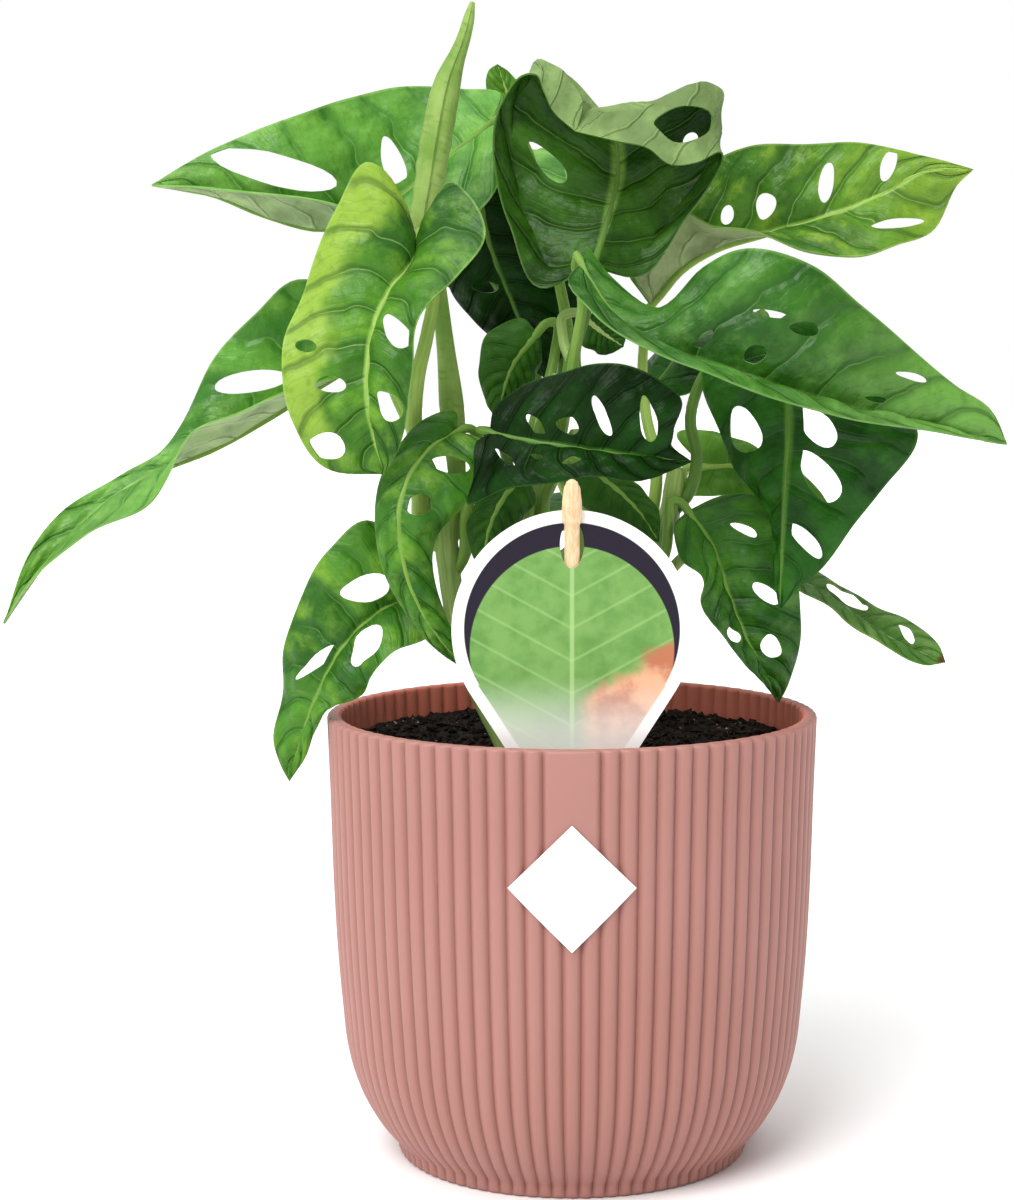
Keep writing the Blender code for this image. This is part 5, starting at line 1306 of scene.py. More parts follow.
class Nodes:
    """The nodes of a material or of the surround, and short ways to add to them."""

    def __init__(self, owner, shader, place="Object"):
        owner.use_nodes = True
        self.owner = owner
        self.tree = owner.node_tree
        self.shader = self.tree.nodes[shader]
        self.place = self.add("TexCoord").outputs[place]
        self.colour = None

    def add(self, kind, inputs=None, **settings):
        node = self.tree.nodes.new("ShaderNode" + kind)
        for key, value in settings.items():
            setattr(node, key, value)
        for key, value in (inputs or {}).items():
            self.feed(node.inputs[key], value)
        return node

    def feed(self, socket, value):
        """Links a socket, or sets its value."""
        if isinstance(value, bpy.types.NodeSocket):
            self.tree.links.new(value, socket)
        else:
            socket.default_value = value

    def math(self, operation, first, second=0.0):
        return self.add("Math", {0: first, 1: second}, operation=operation).outputs[0]

    def plus(self, first, second):
        return self.math("ADD", first, second)

    def minus(self, first, second):
        return self.math("SUBTRACT", first, second)

    def times(self, first, second):
        return self.math("MULTIPLY", first, second)

    def size(self, value):
        return self.math("ABSOLUTE", value)

    def reach(self, first, second):
        """Length of the two sides' diagonal."""
        return self.math("SQRT", self.plus(self.times(first, first), self.times(second, second)))

    def band(self, value, low, high, start=0.0, end=1.0):
        """Smooth change from start at low to end at high, where low may lie above high."""
        if low > high:
            low, high, start, end = high, low, end, start
        inputs = {"Value": value, "From Min": low, "From Max": high, "To Min": start, "To Max": end}
        return self.add("MapRange", inputs, interpolation_type="SMOOTHSTEP").outputs["Result"]

    def noise(self, scale, detail=3.0, roughness=0.55, vector=None):
        inputs = {"Vector": vector or self.place, "Scale": scale, "Detail": detail, "Roughness": roughness}
        return self.add("TexNoise", inputs).outputs["Fac"]

    def mottle(self, grain, levels):
        """Soft patches: a noise, 0 below the first level and 1 above the second."""
        return self.band(self.noise(*grain), *levels)

    def streaks(self, across, along, turns, detail):
        """A noise that is stretched along a stalk: turns is how fine it is across and along."""
        stretched = self.vector(self.times(across, turns[0]), self.times(along, turns[1]))
        return self.noise(1.0, detail, STREAK_ROUGHNESS, stretched)

    def parts(self, vector):
        return self.add("SeparateXYZ", {0: vector}).outputs

    def vector(self, x, y, z=0.0):
        return self.add("CombineXYZ", {0: x, 1: y, 2: z}).outputs[0]

    def uv(self):
        return self.parts(self.add("UVMap", uv_map="blade").outputs[0])

    def mix(self, factor, first, second):
        """Display colours, or the outputs of other nodes, mixed by a factor."""
        inputs = {0: factor}
        for number, colour in ((6, first), (7, second)):
            inputs[number] = linear(*colour) if isinstance(colour, tuple) else colour
        return self.add("Mix", inputs, data_type="RGBA").outputs[2]

    def cover(self, mask, colour, strength=None):
        """Lays a colour over the present one where the mask is 1."""
        factor = mask if strength is None else self.times(mask, strength)
        self.colour = self.mix(factor, self.colour, colour)

    def bump(self, height, strength, distance):
        inputs = {"Height": height, "Strength": strength, "Distance": distance}
        self.feed(self.shader.inputs["Normal"], self.add("Bump", inputs).outputs[0])

    def finish(self, roughness=None):
        """The material, with its present colour."""
        self.feed(self.shader.inputs["Base Color"], self.colour)
        if roughness is not None:
            self.feed(self.shader.inputs["Roughness"], roughness)
        return self.owner


def skin(name, roughness, specular=0.5):
    """The nodes of a new material."""
    nodes = Nodes(bpy.data.materials.new(name), "Principled BSDF")
    nodes.shader.inputs["Roughness"].default_value = roughness
    nodes.shader.inputs["Specular IOR Level"].default_value = specular
    return nodes


# Looks of the leaves

SLOT_OF = {"dark": "leaf_dark", "mid": "leaf_mid", "lime": "leaf_lime", "pale": "leaf_pale", "stem": "stem"}

# Colours of a blade: its face, its deeper green (for darker tone, and for the painted shade beside the
# veins), its lighter patches, its veins and its underside, then how strong the veins and patches are, how
# glossy it is, how deep its creases are (which also sets how dark that painted shade is), how far its tip
# is painted lighter in the patches' colour as a painted sheen, the painted glow along the margin of its
# left half where that differs, and the colour of a dry tip
Tint = namedtuple("Tint", "face deep patch vein under vein_strength patch_strength gloss crease tip margin "
                          "dry", defaults=(1.0, 0.0, None, None))
TINTS = {
    "dark": Tint((0.14, 0.36, 0.07), (0.07, 0.22, 0.04), (0.22, 0.46, 0.10), (0.30, 0.49, 0.16),
                 (0.46, 0.58, 0.34), 0.3, 0.4, 0.15, 0.7),
    "deep": Tint((0.07, 0.21, 0.04), (0.035, 0.12, 0.02), (0.13, 0.32, 0.07), (0.24, 0.42, 0.13),
                 (0.38, 0.50, 0.26), 0.2, 0.3, 0.08),
    "olive": Tint((0.19, 0.36, 0.07), (0.11, 0.24, 0.04), (0.28, 0.48, 0.11), (0.42, 0.57, 0.22),
                  (0.50, 0.61, 0.36), 0.35, 0.4, 0.15),
    "mid": Tint((0.22, 0.44, 0.11), (0.12, 0.30, 0.07), (0.37, 0.58, 0.19), (0.42, 0.60, 0.25),
                (0.58, 0.69, 0.45), 0.3, 0.45, 0.22, 0.6),
    "broad": Tint((0.22, 0.43, 0.11), (0.13, 0.31, 0.07), (0.45, 0.65, 0.29), (0.46, 0.63, 0.30),
                  (0.58, 0.69, 0.45), 0.3, 0.4, 0.22, 1.0, 0.7),
    "mottled": Tint((0.28, 0.50, 0.13), (0.15, 0.35, 0.07), (0.46, 0.63, 0.18), (0.45, 0.63, 0.27),
                    (0.58, 0.69, 0.45), 0.3, 0.7, 0.2),
    "fresh": Tint((0.36, 0.59, 0.20), (0.20, 0.43, 0.11), (0.52, 0.72, 0.31), (0.55, 0.73, 0.37),
                  (0.66, 0.76, 0.54), 0.35, 0.5, 0.25, 1.0, 0.35),
    "lime": Tint((0.30, 0.50, 0.12), (0.18, 0.36, 0.07), (0.53, 0.67, 0.22), (0.60, 0.74, 0.36),
                 (0.62, 0.69, 0.48), 0.35, 0.8, 0.2, 1.0, 0.5),
    # Its margin colour is a painted glow of light shining through the margin of the left half
    "glow": Tint((0.27, 0.48, 0.11), (0.14, 0.33, 0.07), (0.46, 0.65, 0.20), (0.60, 0.75, 0.36),
                 (0.66, 0.75, 0.50), 0.35, 0.6, 0.2, 1.2, 0.0, (0.55, 0.68, 0.24)),
    "dry": Tint((0.34, 0.52, 0.20), (0.24, 0.42, 0.13), (0.50, 0.64, 0.32), (0.60, 0.72, 0.42),
                (0.63, 0.73, 0.48), 0.35, 0.5, 0.2, 1.0, 0.0, None, (0.34, 0.20, 0.10)),
    "young": Tint((0.36, 0.56, 0.18), (0.28, 0.47, 0.12), (0.46, 0.64, 0.24), (0.52, 0.68, 0.32),
                  (0.62, 0.72, 0.46), 0.3, 0.4, 0.15, 0.25),
    # Painted shade: a darker, duller green with shallow creases for the small leaves deep under the others
    "shade": Tint((0.20, 0.38, 0.10), (0.13, 0.29, 0.06), (0.29, 0.47, 0.14), (0.38, 0.55, 0.22),
                  (0.50, 0.61, 0.36), 0.3, 0.4, 0.12, 0.3),
}
# Leaves whose tint isn't the one that their own colour names. The darker, duller shade tint is painted
# shade on the small leaves deep inside the plant.
OWN_TINTS = {"leaf_front_left": "glow", "leaf_back_centre": "deep", "leaf_front_centre": "deep",
             "leaf_rear_left": "deep", "leaf_top_cup": "olive", "leaf_left_curl": "mottled",
             "leaf_lower_left": "mottled", "leaf_low_left": "shade", "leaf_upper_left": "fresh",
             "leaf_far_left": "fresh", "leaf_rear_high": "fresh", "leaf_right_large": "broad",
             "leaf_right_narrow": "dry", "leaf_young_top": "young", "leaf_small_lime": "young",
             "leaf_small_mid": "shade", "leaf_small_centre": "shade", "leaf_low_right": "shade"}

# A grain is a noise's (scale, detail, roughness). Levels, and the reach of a mask, are where it begins and
# where it is full: across a vein from 0.5 on it to 0 midway between two, or as a share of the blade.
BROAD_GRAIN, BROAD_LEVELS = (42.0, 3.0), (0.36, 0.62)
BLOTCH_GRAIN, BLOTCH_LEVELS = (80.0, 4.0, 0.65), (0.42, 0.7)
FINE_GRAIN, FINE_LEVELS = (310.0, 4.0, 0.6), (0.48, 0.72)
# Ragged edge of the painted glow along a margin
PAINTED_GLOW_RAGGED_GRAIN, PAINTED_GLOW_RAGGEDNESS = (70.0, 3.0), 0.7
DRIFT_GRAIN = (60.0, 2.0)
PUCKER_GRAIN = (120.0, 2.5, 0.5)
GLOSS_GRAIN, GLOSS_RANGE, GLOSS_LEAST = (120.0, 3.0), 0.2, 0.26
BETWEEN_VEINS = (0.48, 0.12)
# Reach of the painted shade in the creases beside the side veins and beside the fine veins
PAINTED_SHADE_BESIDE_VEIN = (0.3, 0.47)
PAINTED_SHADE_BESIDE_FINE_VEIN = (0.38, 0.5)
ON_VEIN = (0.478, 0.494)
VEIN_ENDS = (0.95, 0.4)
MIDRIB = (0.06, 0.02)
# The pale edge line below is the blade's paler margin with a painted highlight on it
PALE_EDGE_HIGHLIGHT = (0.97, 0.99)
# The three margin reaches below place a painted glow of light shining through the left half's margin
PAINTED_GLOW_ACROSS = (0.72, 1.02)
PAINTED_GLOW_HALF = (0.5, 0.54)
PAINTED_GLOW_ALONG = (0.97, 0.72)
# Where the painted sheen toward the tip begins and where it is full
TIP_SHEEN_ALONG = (0.45, 0.95)
DRY_ALONG = (0.93, 0.97)
# How strong the painted glow along the margin is
PAINTED_GLOW_STRENGTH = 0.9
# How dark the painted shade in the creases beside the side veins and the fine veins is
PAINTED_VEIN_SHADE = 0.5
PAINTED_FINE_VEIN_SHADE = 0.14
FINE_SHADE = 0.3
MIDRIB_STRENGTH = 0.75
# How strong the pale edge line with its painted highlight is
PALE_EDGE_HIGHLIGHT_STRENGTH = 0.35
DRY_STRENGTH = 0.9
CREASE, CREASE_DEPTH = (0.5, 0.38), 0.4
FINE_CREASE, FINE_CREASE_DEPTH = (0.5, 0.3), 0.05
PUCKER_DEPTH = 1.8
FINE_DEPTH = 0.3
BLADE_BUMP = (0.8, 0.0012)

UNDER_BROAD_GRAIN, UNDER_BROAD_LEVELS = (60.0, 3.0), (0.4, 0.65)
UNDER_FINE_GRAIN, UNDER_FINE_LEVELS = (420.0, 4.0, 0.65), (0.5, 0.8)
UNDER_DARKER = 0.8
UNDER_LIGHTER = 1.12
UNDER_VEIN, UNDER_VEIN_STRENGTH = (0.45, 0.497), 0.5
UNDER_FINE_STRENGTH = 0.3
UNDER_FINE_VEIN, UNDER_FINE_VEIN_STRENGTH = (0.36, 0.5), 0.25
UNDER_RIDGE, UNDER_RIDGE_DEPTH = (0.4, 0.5), 0.7
UNDER_PUCKER_DEPTH = 1.6


def vein_masks(nodes):
    """How near a point is to a side vein and to a fine vein (0.5 on it), and its place on the blade."""
    across, along, _ = nodes.uv()
    spread = nodes.times(nodes.size(nodes.minus(across, 0.5)), 2.0)
    swept = nodes.times(nodes.math("POWER", spread, VEIN_CURVE), VEIN_SWEEP)
    turn = nodes.times(nodes.minus(along, swept), float(VEINS))
    shift = nodes.times(nodes.math("LESS_THAN", across, 0.5), LEFT_VEIN_SHIFT)
    drift = nodes.times(nodes.minus(nodes.noise(*DRIFT_GRAIN), 0.5), VEIN_DRIFT)
    turn = nodes.plus(nodes.plus(turn, shift), nodes.plus(drift, VEIN_START))

    def nearness(value):
        return nodes.size(nodes.minus(nodes.math("FRACT", value), 0.5))

    return nearness(turn), nearness(nodes.times(turn, FINE_VEINS)), spread, across, along


@cache
def blade_top(colour):
    """The waxy upper face: painted shade in the creases by the veins, lighter patches between them, a pale
    midrib.
    """
    tint = TINTS[colour]
    nodes = skin("leaf_" + colour, roughness=0.4, specular=tint.gloss)
    near, fine_near, spread, across, along = vein_masks(nodes)
    fine = nodes.noise(*FINE_GRAIN)
    crease = min(tint.crease, 1.0)
    nodes.colour = nodes.mix(nodes.mottle(BROAD_GRAIN, BROAD_LEVELS), tint.face, tint.deep)
    patches = nodes.times(nodes.band(near, *BETWEEN_VEINS), nodes.mottle(BLOTCH_GRAIN, BLOTCH_LEVELS))
    nodes.cover(patches, tint.patch, tint.patch_strength)
    # Painted glow: a yellow-lime band along the outer margin of the left half, standing in for light
    # shining through the thin blade
    if tint.margin:
        ragged = nodes.plus(spread, nodes.times(nodes.noise(*PAINTED_GLOW_RAGGED_GRAIN), PAINTED_GLOW_RAGGEDNESS))
        outer = nodes.times(nodes.band(ragged, *PAINTED_GLOW_ACROSS), nodes.band(across, *PAINTED_GLOW_HALF))
        nodes.cover(nodes.times(outer, nodes.band(along, *PAINTED_GLOW_ALONG)), tint.margin, PAINTED_GLOW_STRENGTH)
    # Painted sheen: the blade is lightened toward its tip in the patches' colour
    if tint.tip:
        nodes.cover(nodes.band(along, *TIP_SHEEN_ALONG), tint.patch, tint.tip)
    # Painted shade: darker green in the sunken creases beside the side veins and the fine veins
    nodes.cover(nodes.band(near, *PAINTED_SHADE_BESIDE_VEIN), tint.deep, PAINTED_VEIN_SHADE*crease)
    nodes.cover(nodes.band(fine_near, *PAINTED_SHADE_BESIDE_FINE_VEIN), tint.deep, PAINTED_FINE_VEIN_SHADE*crease)
    nodes.cover(nodes.band(fine, *FINE_LEVELS), tint.deep, FINE_SHADE)
    veins = nodes.times(nodes.band(near, *ON_VEIN), nodes.band(spread, *VEIN_ENDS))
    nodes.cover(veins, tint.vein, tint.vein_strength)
    nodes.cover(nodes.band(spread, *MIDRIB), tint.vein, MIDRIB_STRENGTH)
    # A pale line along the edge: the blade's paler margin, with a painted highlight on it
    nodes.cover(nodes.band(spread, *PALE_EDGE_HIGHLIGHT), tint.vein, PALE_EDGE_HIGHLIGHT_STRENGTH)
    if tint.dry:
        nodes.cover(nodes.band(along, *DRY_ALONG), tint.dry, DRY_STRENGTH)
    height = nodes.times(nodes.band(near, *CREASE), CREASE_DEPTH*tint.crease)
    height = nodes.plus(height, nodes.times(nodes.band(fine_near, *FINE_CREASE), FINE_CREASE_DEPTH))
    height = nodes.plus(height, nodes.times(nodes.noise(*PUCKER_GRAIN), PUCKER_DEPTH))
    nodes.bump(nodes.plus(height, nodes.times(fine, FINE_DEPTH)), *BLADE_BUMP)
    return nodes.finish(nodes.plus(nodes.times(nodes.noise(*GLOSS_GRAIN), GLOSS_RANGE), GLOSS_LEAST))


@cache
def blade_under(colour):
    """The duller, paler underside with raised veins."""
    tint = TINTS[colour]
    nodes = skin("leaf_" + colour + "_underside", roughness=0.6, specular=0.15)
    near, fine_near, *_ = vein_masks(nodes)
    darker = tuple(value*UNDER_DARKER for value in tint.under)
    lighter = tuple(min(value*UNDER_LIGHTER, 1.0) for value in tint.under)
    fine = nodes.noise(*UNDER_FINE_GRAIN)
    nodes.colour = nodes.mix(nodes.mottle(UNDER_BROAD_GRAIN, UNDER_BROAD_LEVELS), tint.under, darker)
    nodes.cover(nodes.band(near, *UNDER_VEIN), lighter, UNDER_VEIN_STRENGTH)
    nodes.cover(nodes.band(fine, *UNDER_FINE_LEVELS), tint.face, UNDER_FINE_STRENGTH)
    nodes.cover(nodes.band(fine_near, *UNDER_FINE_VEIN), darker, UNDER_FINE_VEIN_STRENGTH)
    height = nodes.times(nodes.band(near, *UNDER_RIDGE), UNDER_RIDGE_DEPTH)
    height = nodes.plus(height, nodes.times(nodes.noise(*PUCKER_GRAIN), UNDER_PUCKER_DEPTH))
    nodes.bump(nodes.plus(height, nodes.times(fine, FINE_DEPTH)), *BLADE_BUMP)
    return nodes.finish()


@cache
def blade_rim(colour):
    """The light cut edge of the blade and of its holes."""
    tint = TINTS[colour]
    nodes = skin("leaf_" + colour + "_rim", roughness=0.5)
    nodes.colour = nodes.mix(nodes.noise(scale=200.0, detail=2.0), tint.patch, tint.face)
    return nodes.finish()


# Looks of the stalks and of the rolled leaf. Streaks and bands are (fineness across, fineness along).

STALK_TINTS = {"dark": ((0.36, 0.50, 0.20), (0.24, 0.38, 0.14)),
               "mid": ((0.48, 0.62, 0.27), (0.33, 0.49, 0.18)),
               "lime": ((0.62, 0.74, 0.37), (0.46, 0.60, 0.24)),
               "pale": ((0.64, 0.74, 0.44), (0.50, 0.63, 0.32)),
               "stem": ((0.60, 0.70, 0.40), (0.38, 0.52, 0.22))}
STALK_STREAKS = (22.0, 5.0)
STALK_STREAK_SHARE = 0.6
STALK_LEVELS, STALK_STRENGTH = (0.38, 0.62), 0.65
STALK_SCAR = (0.36, 0.33, 0.18)
STALK_SCAR_GRAIN, STALK_SCAR_LEVELS, STALK_SCAR_STRENGTH = (380.0, 2.0, 0.5), (0.70, 0.76), 0.5
STREAK_ROUGHNESS = 0.6
SPEAR_BANDS = (3.0, 55.0)
SPEAR_SLANT = 0.04
SPEAR_STREAKS = (26.0, 4.0)
SPEAR_STREAK_SHARE = 0.25
SPEAR_LEVELS = (0.4, 0.62)
SPEAR_COLOURS = ((0.55, 0.66, 0.34), (0.43, 0.57, 0.24))
SPEAR_BAND, SPEAR_BAND_LEVELS, SPEAR_BAND_STRENGTH = (0.36, 0.50, 0.18), (0.52, 0.66), 0.45
SPEAR_SCAR = (0.30, 0.28, 0.14)
SPEAR_SCAR_GRAIN, SPEAR_SCAR_LEVELS = (150.0, 1.0, 0.4), (0.76, 0.79)
SPEAR_STREAK_DEPTH = 0.1


@cache
def stalk_material(colour):
    """The skin of a stalk or stem: pale green with long streaks and small scars."""
    light, deep = STALK_TINTS[colour]
    nodes = skin("stalk_" + colour, roughness=0.45, specular=0.2)
    around, along, _ = nodes.uv()
    streak = nodes.streaks(around, along, STALK_STREAKS, detail=3.0)
    blend = nodes.plus(nodes.times(streak, STALK_STREAK_SHARE),
                       nodes.times(nodes.noise(scale=55.0, detail=2.0), 1 - STALK_STREAK_SHARE))
    nodes.colour = nodes.mix(nodes.times(nodes.band(blend, *STALK_LEVELS), STALK_STRENGTH), light, deep)
    nodes.cover(nodes.mottle(STALK_SCAR_GRAIN, STALK_SCAR_LEVELS), STALK_SCAR, STALK_SCAR_STRENGTH)
    nodes.bump(streak, strength=0.15, distance=0.0003)
    return nodes.finish()


def spear_material():
    """The rolled young leaf: soft pale green, with fine cross wrinkles and a few dark scars."""
    nodes = skin("young_leaf", roughness=0.5, specular=0.2)
    around, along, _ = nodes.uv()
    slanted = nodes.plus(along, nodes.times(around, SPEAR_SLANT))
    bands = nodes.streaks(around, slanted, SPEAR_BANDS, detail=4.0)
    streak = nodes.streaks(around, along, SPEAR_STREAKS, detail=3.0)
    blend = nodes.plus(nodes.times(streak, SPEAR_STREAK_SHARE),
                       nodes.times(nodes.noise(scale=60.0), 1 - SPEAR_STREAK_SHARE))
    nodes.colour = nodes.mix(nodes.band(blend, *SPEAR_LEVELS), *SPEAR_COLOURS)
    nodes.cover(nodes.band(bands, *SPEAR_BAND_LEVELS), SPEAR_BAND, SPEAR_BAND_STRENGTH)
    nodes.cover(nodes.mottle(SPEAR_SCAR_GRAIN, SPEAR_SCAR_LEVELS), SPEAR_SCAR)
    nodes.bump(nodes.plus(bands, nodes.times(streak, SPEAR_STREAK_DEPTH)), strength=0.35, distance=0.0006)
    return nodes.finish()


# Looks of the pot and the soil. Heights, radii and the panel's half width are in millimetres.

POT_COLOURS = ((0.65, 0.455, 0.42), (0.63, 0.43, 0.39))
POT_CLOUDS, POT_CLOUD_LEVELS = (9.0, 2.0), (0.35, 0.65)
# Painted shade in the grooves between the ribs: its colour and strength, how far it reaches round, and
# where it stops at the rim
GROOVE_SHADE_COLOUR, GROOVE_SHADE_STRENGTH = (0.44, 0.24, 0.20), 0.3
GROOVE_SHADE_LEVELS = (0.3, 0.0)
GROOVE_SHADE_TOP = (130.5, 129.0)
PANEL_REACH = 7.4
# Painted bounce light: the inner wall near the rim is painted a richer, redder pink, standing in for light
# bounced round inside the pot
INNER_BOUNCE_COLOUR = (0.77, 0.42, 0.35)
INNER_BOUNCE_RADII = (69.8, 69.2)
INNER_BOUNCE_HEIGHTS = (90.0, 100.0)
POT_GLOSS_RANGE, POT_GLOSS_LEAST = 0.12, 0.44
SOIL_COLOURS = ((0.04, 0.028, 0.022), (0.14, 0.09, 0.065))
SOIL_LEVELS = (0.4, 0.7)
SOIL_GLINTS = 0.5
CRUMB_GRAIN, CRUMB_LEVELS = (260.0, 2.0, 0.6), (0.35, 0.65)


def pot_material():
    """Satin moulded plastic in a dusty pink, slightly mottled, with painted shade in the grooves and
    painted bounce light inside the rim.
    """
    nodes = skin("pot_plastic", roughness=0.5)
    x, y, z = (nodes.times(part, 1/MM) for part in nodes.parts(nodes.place))
    nodes.colour = nodes.mix(nodes.mottle(POT_CLOUDS, POT_CLOUD_LEVELS), *POT_COLOURS)
    # Painted shade: the grooves between the ribs are darkened, except on the plain panel and at the top of
    # the rim
    turn = nodes.times(nodes.math("ARCTAN2", y, x), RIB_COUNT/(2*pi))
    crest = nodes.size(nodes.minus(nodes.math("FRACT", turn), 0.5))
    groove = nodes.times(nodes.band(crest, *GROOVE_SHADE_LEVELS), nodes.band(z, *GROOVE_SHADE_TOP))
    panel = nodes.times(nodes.math("LESS_THAN", nodes.size(x), PANEL_REACH),
                        nodes.math("GREATER_THAN", z, PANEL_BOTTOM - PANEL_FADE/2))
    nodes.cover(nodes.times(groove, nodes.minus(1.0, panel)), GROOVE_SHADE_COLOUR, GROOVE_SHADE_STRENGTH)
    # Painted bounce light: the inner wall near the rim is painted a richer, redder pink
    inner = nodes.times(nodes.band(nodes.reach(x, y), *INNER_BOUNCE_RADII), nodes.band(z, *INNER_BOUNCE_HEIGHTS))
    nodes.cover(inner, INNER_BOUNCE_COLOUR)
    nodes.bump(nodes.noise(scale=2600.0, detail=2.0, roughness=0.5), strength=0.12, distance=0.0002)
    return nodes.finish(nodes.plus(nodes.times(nodes.noise(scale=40.0), POT_GLOSS_RANGE), POT_GLOSS_LEAST))


def soil_material():
    """Moist potting mix: near black with brown crumbs and damp glints."""
    nodes = skin("potting_mix", roughness=0.85, specular=0.2)
    crumb = nodes.noise(scale=520.0, detail=5.0, roughness=0.7)
    nodes.colour = nodes.mix(nodes.band(crumb, *SOIL_LEVELS), *SOIL_COLOURS)
    nodes.bump(crumb, strength=0.9, distance=0.0012)
    return nodes.finish(nodes.minus(1.0, nodes.times(nodes.noise(scale=900.0, detail=2.0), SOIL_GLINTS)))


def grain_material(name, dark, light, roughness):
    """Crumbs of the potting mix, each a little lighter or darker than the next."""
    nodes = skin(name, roughness, 0.2)
    nodes.colour = nodes.mix(nodes.mottle(CRUMB_GRAIN, CRUMB_LEVELS), dark, light)
    nodes.bump(nodes.noise(scale=1800.0), strength=0.5, distance=0.0003)
    return nodes.finish()


# Looks of the peg, the sticker and the label. The print is laid out in millimetres.

WOOD_GRAIN = (1500.0, 900.0, 60.0)
WOOD_LEVELS = (0.4, 0.65)
WOOD_COLOURS = ((0.92, 0.81, 0.66), (0.86, 0.72, 0.54))
CARD_COLOURS = ((0.93, 0.93, 0.91), (0.89, 0.89, 0.87))
FILM_COLOURS = ((0.97, 0.97, 0.965), (0.955, 0.955, 0.95))
BORDER_COLOUR = (0.97, 0.97, 0.96)
PRINT_RADIUS = 29.6
PRINT_SOFTNESS = 0.006
PRINT_GRAIN, PRINT_LEVELS = (140.0, 4.0, 0.6), (0.35, 0.7)
PRINT_GREENS = ((0.45, 0.62, 0.32), (0.36, 0.55, 0.25))
STRIPE_COLOUR, STRIPE_STRENGTH = (0.60, 0.75, 0.46), 0.45
STRIPE_SLOPE = 0.55
STRIPE_SPACING = 9.0
STRIPE_LEVELS = (0.42, 0.5)
PRINT_RIB_COLOUR, PRINT_RIB_STRENGTH = (0.66, 0.79, 0.52), 0.6
PRINT_RIB_REACH = (0.9, 0.3)
WARM_COLOURS = ((0.88, 0.66, 0.52), (0.70, 0.43, 0.31))
WARM_LEVELS = (0.38, 0.62)
WARM_SLOPE = 0.55
WARM_ROUGHNESS = 16.0
WARM_UPPER = (-136.0, -131.0)
WARM_LEFT = (0.0, 7.0)
ARC_COLOUR = (0.10, 0.06, 0.14)
ARC_DROP = 5.5
ARC_HALF_SIZES = (28.0, 28.6)
FADE_COLOUR, FADE_STRENGTH = (0.96, 0.97, 0.95), 0.85
FADE_HEIGHTS = (150.0, 124.0)
TAPER_TOP = 147.0
TAPER_SLOPE = 0.66
TAPER_HEIGHTS = (147.0, 146.0)
TAPER_REACH = (26.6, 26.0)


def wood_material():
    """Raw light wood with fine grain along the peg."""
    nodes = skin("raw_wood", roughness=0.6, specular=0.25)
    along = [nodes.times(part, scale) for part, scale in zip(nodes.parts(nodes.place), WOOD_GRAIN)]
    grain = nodes.noise(1.0, 4.0, 0.6, nodes.vector(*along))
    nodes.colour = nodes.mix(nodes.band(grain, *WOOD_LEVELS), *WOOD_COLOURS)
    nodes.bump(grain, strength=0.12, distance=0.0003)
    return nodes.finish()


def card_material():
    """The card's bare back and cut edge."""
    nodes = skin("card_back", roughness=0.55)
    fibre = nodes.noise(scale=900.0)
    nodes.colour = nodes.mix(fibre, *CARD_COLOURS)
    nodes.bump(fibre, strength=0.1, distance=0.0001)
    return nodes.finish()


def sticker_material():
    """Smooth white film."""
    nodes = skin("white_film", roughness=0.32)
    nodes.colour = nodes.mix(nodes.noise(scale=60.0, detail=2.0), *FILM_COLOURS)
    nodes.bump(nodes.noise(scale=700.0, detail=2.0), strength=0.04, distance=0.0002)
    return nodes.finish()


def label_print():
    """A plain leaf pattern: green with pale veins, a dark arc and a warm wash, inside a white border."""
    nodes = skin("label_print", roughness=0.3, specular=0.25)
    x, _, z = nodes.parts(nodes.place)
    across = nodes.times(x, 1/MM)
    up = nodes.times(z, 1/MM)
    aside = nodes.size(across)
    head = LABEL_TOP - LABEL_HALF_WIDTH

    def oval(height, half_width, half_height):
        sideways = nodes.times(across, 1/half_width)
        upward = nodes.times(nodes.minus(up, height), 1/half_height)
        return nodes.band(nodes.reach(sideways, upward), 1.0 + PRINT_SOFTNESS, 1.0 - PRINT_SOFTNESS)

    nodes.colour = nodes.mix(nodes.mottle(PRINT_GRAIN, PRINT_LEVELS), *PRINT_GREENS)
    rise = nodes.minus(up, nodes.times(aside, STRIPE_SLOPE))
    stripe = nodes.math("FRACT", nodes.math("DIVIDE", rise, STRIPE_SPACING))
    stripe = nodes.band(nodes.size(nodes.minus(stripe, 0.5)), *STRIPE_LEVELS)
    nodes.cover(stripe, STRIPE_COLOUR, STRIPE_STRENGTH)
    nodes.cover(nodes.band(aside, *PRINT_RIB_REACH), PRINT_RIB_COLOUR, PRINT_RIB_STRENGTH)
    wash = nodes.noise(scale=75.0, detail=4.0, roughness=0.6)
    slope = nodes.minus(nodes.times(across, WARM_SLOPE), up)
    rough = nodes.plus(slope, nodes.times(wash, WARM_ROUGHNESS))
    stroke = nodes.times(nodes.band(rough, *WARM_UPPER), nodes.band(across, *WARM_LEFT))
    nodes.cover(stroke, nodes.mix(nodes.band(wash, *WARM_LEVELS), *WARM_COLOURS))
    disc = oval(head, PRINT_RADIUS, PRINT_RADIUS)
    nodes.cover(nodes.times(disc, nodes.minus(1.0, oval(head - ARC_DROP, *ARC_HALF_SIZES))), ARC_COLOUR)
    nodes.cover(nodes.band(up, *FADE_HEIGHTS), FADE_COLOUR, FADE_STRENGTH)
    narrowing = nodes.plus(aside, nodes.times(nodes.minus(TAPER_TOP, up), TAPER_SLOPE))
    taper = nodes.times(nodes.band(up, *TAPER_HEIGHTS), nodes.band(narrowing, *TAPER_REACH))
    nodes.colour = nodes.mix(nodes.math("MAXIMUM", disc, taper), BORDER_COLOUR, nodes.colour)
    return nodes.finish()


# Floor, lights and camera

FLOOR_COLOURS = ((0.985, 0.985, 0.985), (0.99, 0.99, 0.99))


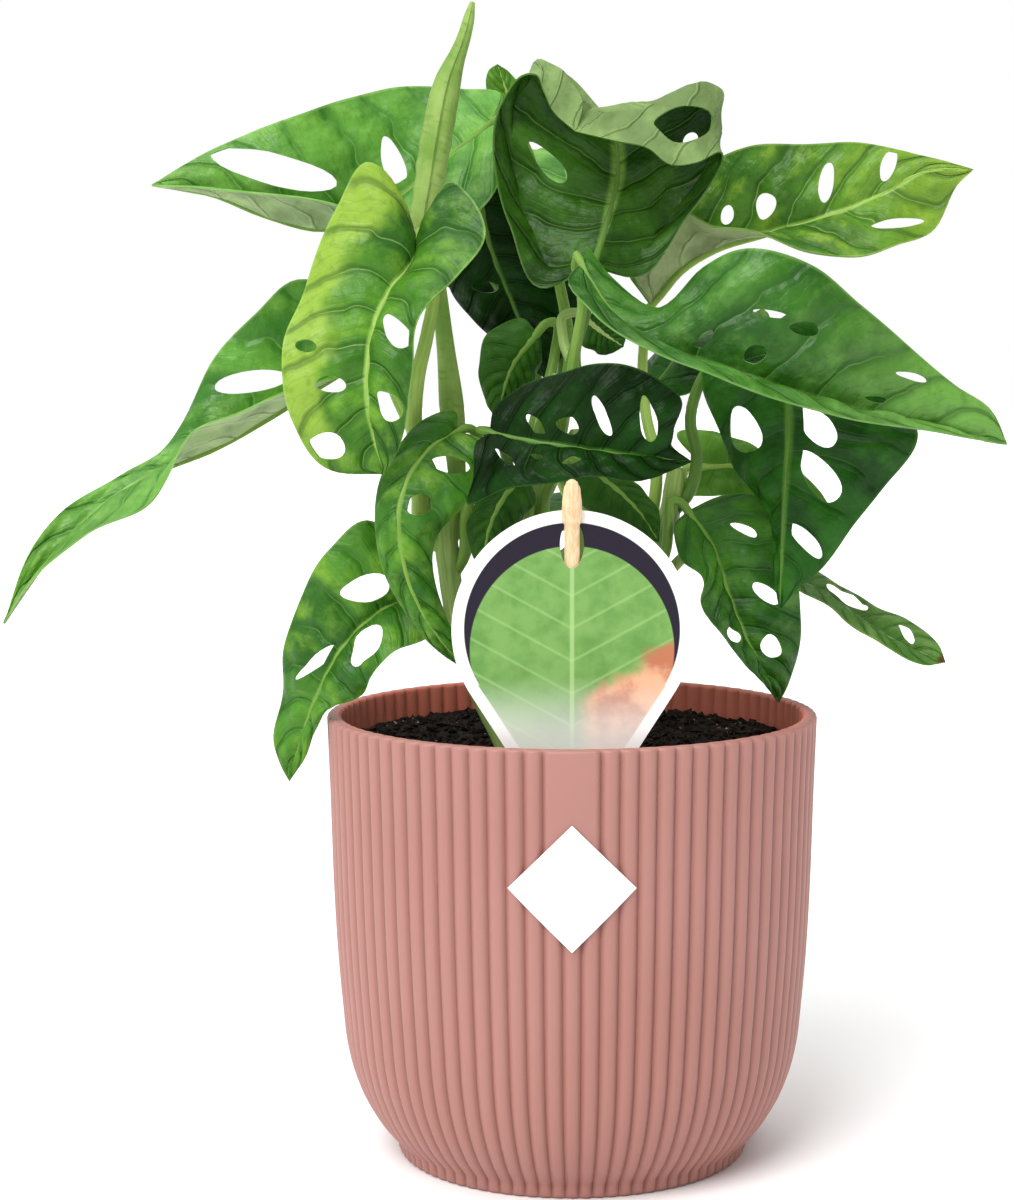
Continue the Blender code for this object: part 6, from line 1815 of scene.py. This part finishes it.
def floor():
    """A plain white floor, wide enough to run out of the frame."""
    mesh = bpy.data.meshes.new("floor")
    reach = FLOOR_REACH*MM
    corners = [(x*reach, y*reach, 0) for x, y in ((-1, -1), (1, -1), (1, 1), (-1, 1))]
    mesh.from_pydata(corners, [], [(0, 1, 2, 3)])
    nodes = skin("floor_white", roughness=0.9, specular=0.0)
    nodes.colour = nodes.mix(nodes.noise(scale=3.0), *FLOOR_COLOURS)
    mesh.materials.append(nodes.finish())
    made = add_to_scene("floor", mesh)


def lights():
    """A soft key from the upper left in front, and a white surround that dims up on the right."""
    data = bpy.data.lights.new("key", "SUN")
    data.angle = radians(KEY_SPREAD)
    data.energy = KEY_STRENGTH
    key = add_to_scene("key", data)
    key.rotation_euler = Vector(KEY_DIRECTION).to_track_quat("-Z", "Y").to_euler()
    world = bpy.data.worlds.new("white_surround")
    nodes = Nodes(world, "Background", "Generated")
    nodes.shader.inputs["Color"].default_value = (1, 1, 1, 1)
    x, _, z = nodes.parts(nodes.place)
    raised = nodes.band(z, *SURROUND_RISE)
    dimmed = nodes.band(x, *SURROUND_TURN, LEFT_STRENGTH - 1, RIGHT_STRENGTH - 1)
    overhead = nodes.band(z, *SURROUND_TOP, 0.0, TOP_STRENGTH)
    strength = nodes.plus(nodes.plus(nodes.times(raised, dimmed), 1.0), overhead)
    nodes.feed(nodes.shader.inputs["Strength"], strength)
    bpy.context.scene.world = world
    bpy.context.scene.view_settings.view_transform = "Standard"


def camera():
    """The photograph's viewpoint: its height, its slight pitch downward and its frame."""
    data = bpy.data.cameras.new("photo_camera")
    data.sensor_width = SENSOR
    data.sensor_fit = "AUTO"
    data.lens = FOCAL_PIXELS/PHOTO_HEIGHT*SENSOR
    data.shift_x = (PHOTO_WIDTH/2 - CENTRE_ACROSS)/PHOTO_HEIGHT
    data.shift_y = (CENTRE_DOWN - PHOTO_HEIGHT/2)/PHOTO_HEIGHT
    made = add_to_scene("photo_camera", data)
    made.location = (0, -EYE_DISTANCE*MM, EYE_HEIGHT*MM)
    made.rotation_euler = (radians(90 - EYE_PITCH), 0, 0)
    bpy.context.scene.camera = made


# The whole scene

camera()
floor()
lights()
pot()
soil()
draw = Random(SOIL_SEED)
for name, count, sizes, look in GRAINS:
    grains(name, count, sizes, grain_material(*look), draw)
label()
stake()
sticker()
for stem in STEMS:
    stem_piece(stem)
for item in LEAVES:
    surface, rib = blade_surface(item)
    blade_piece(item, surface, rib)
    stalk_piece(item, surface, rib)
spear()
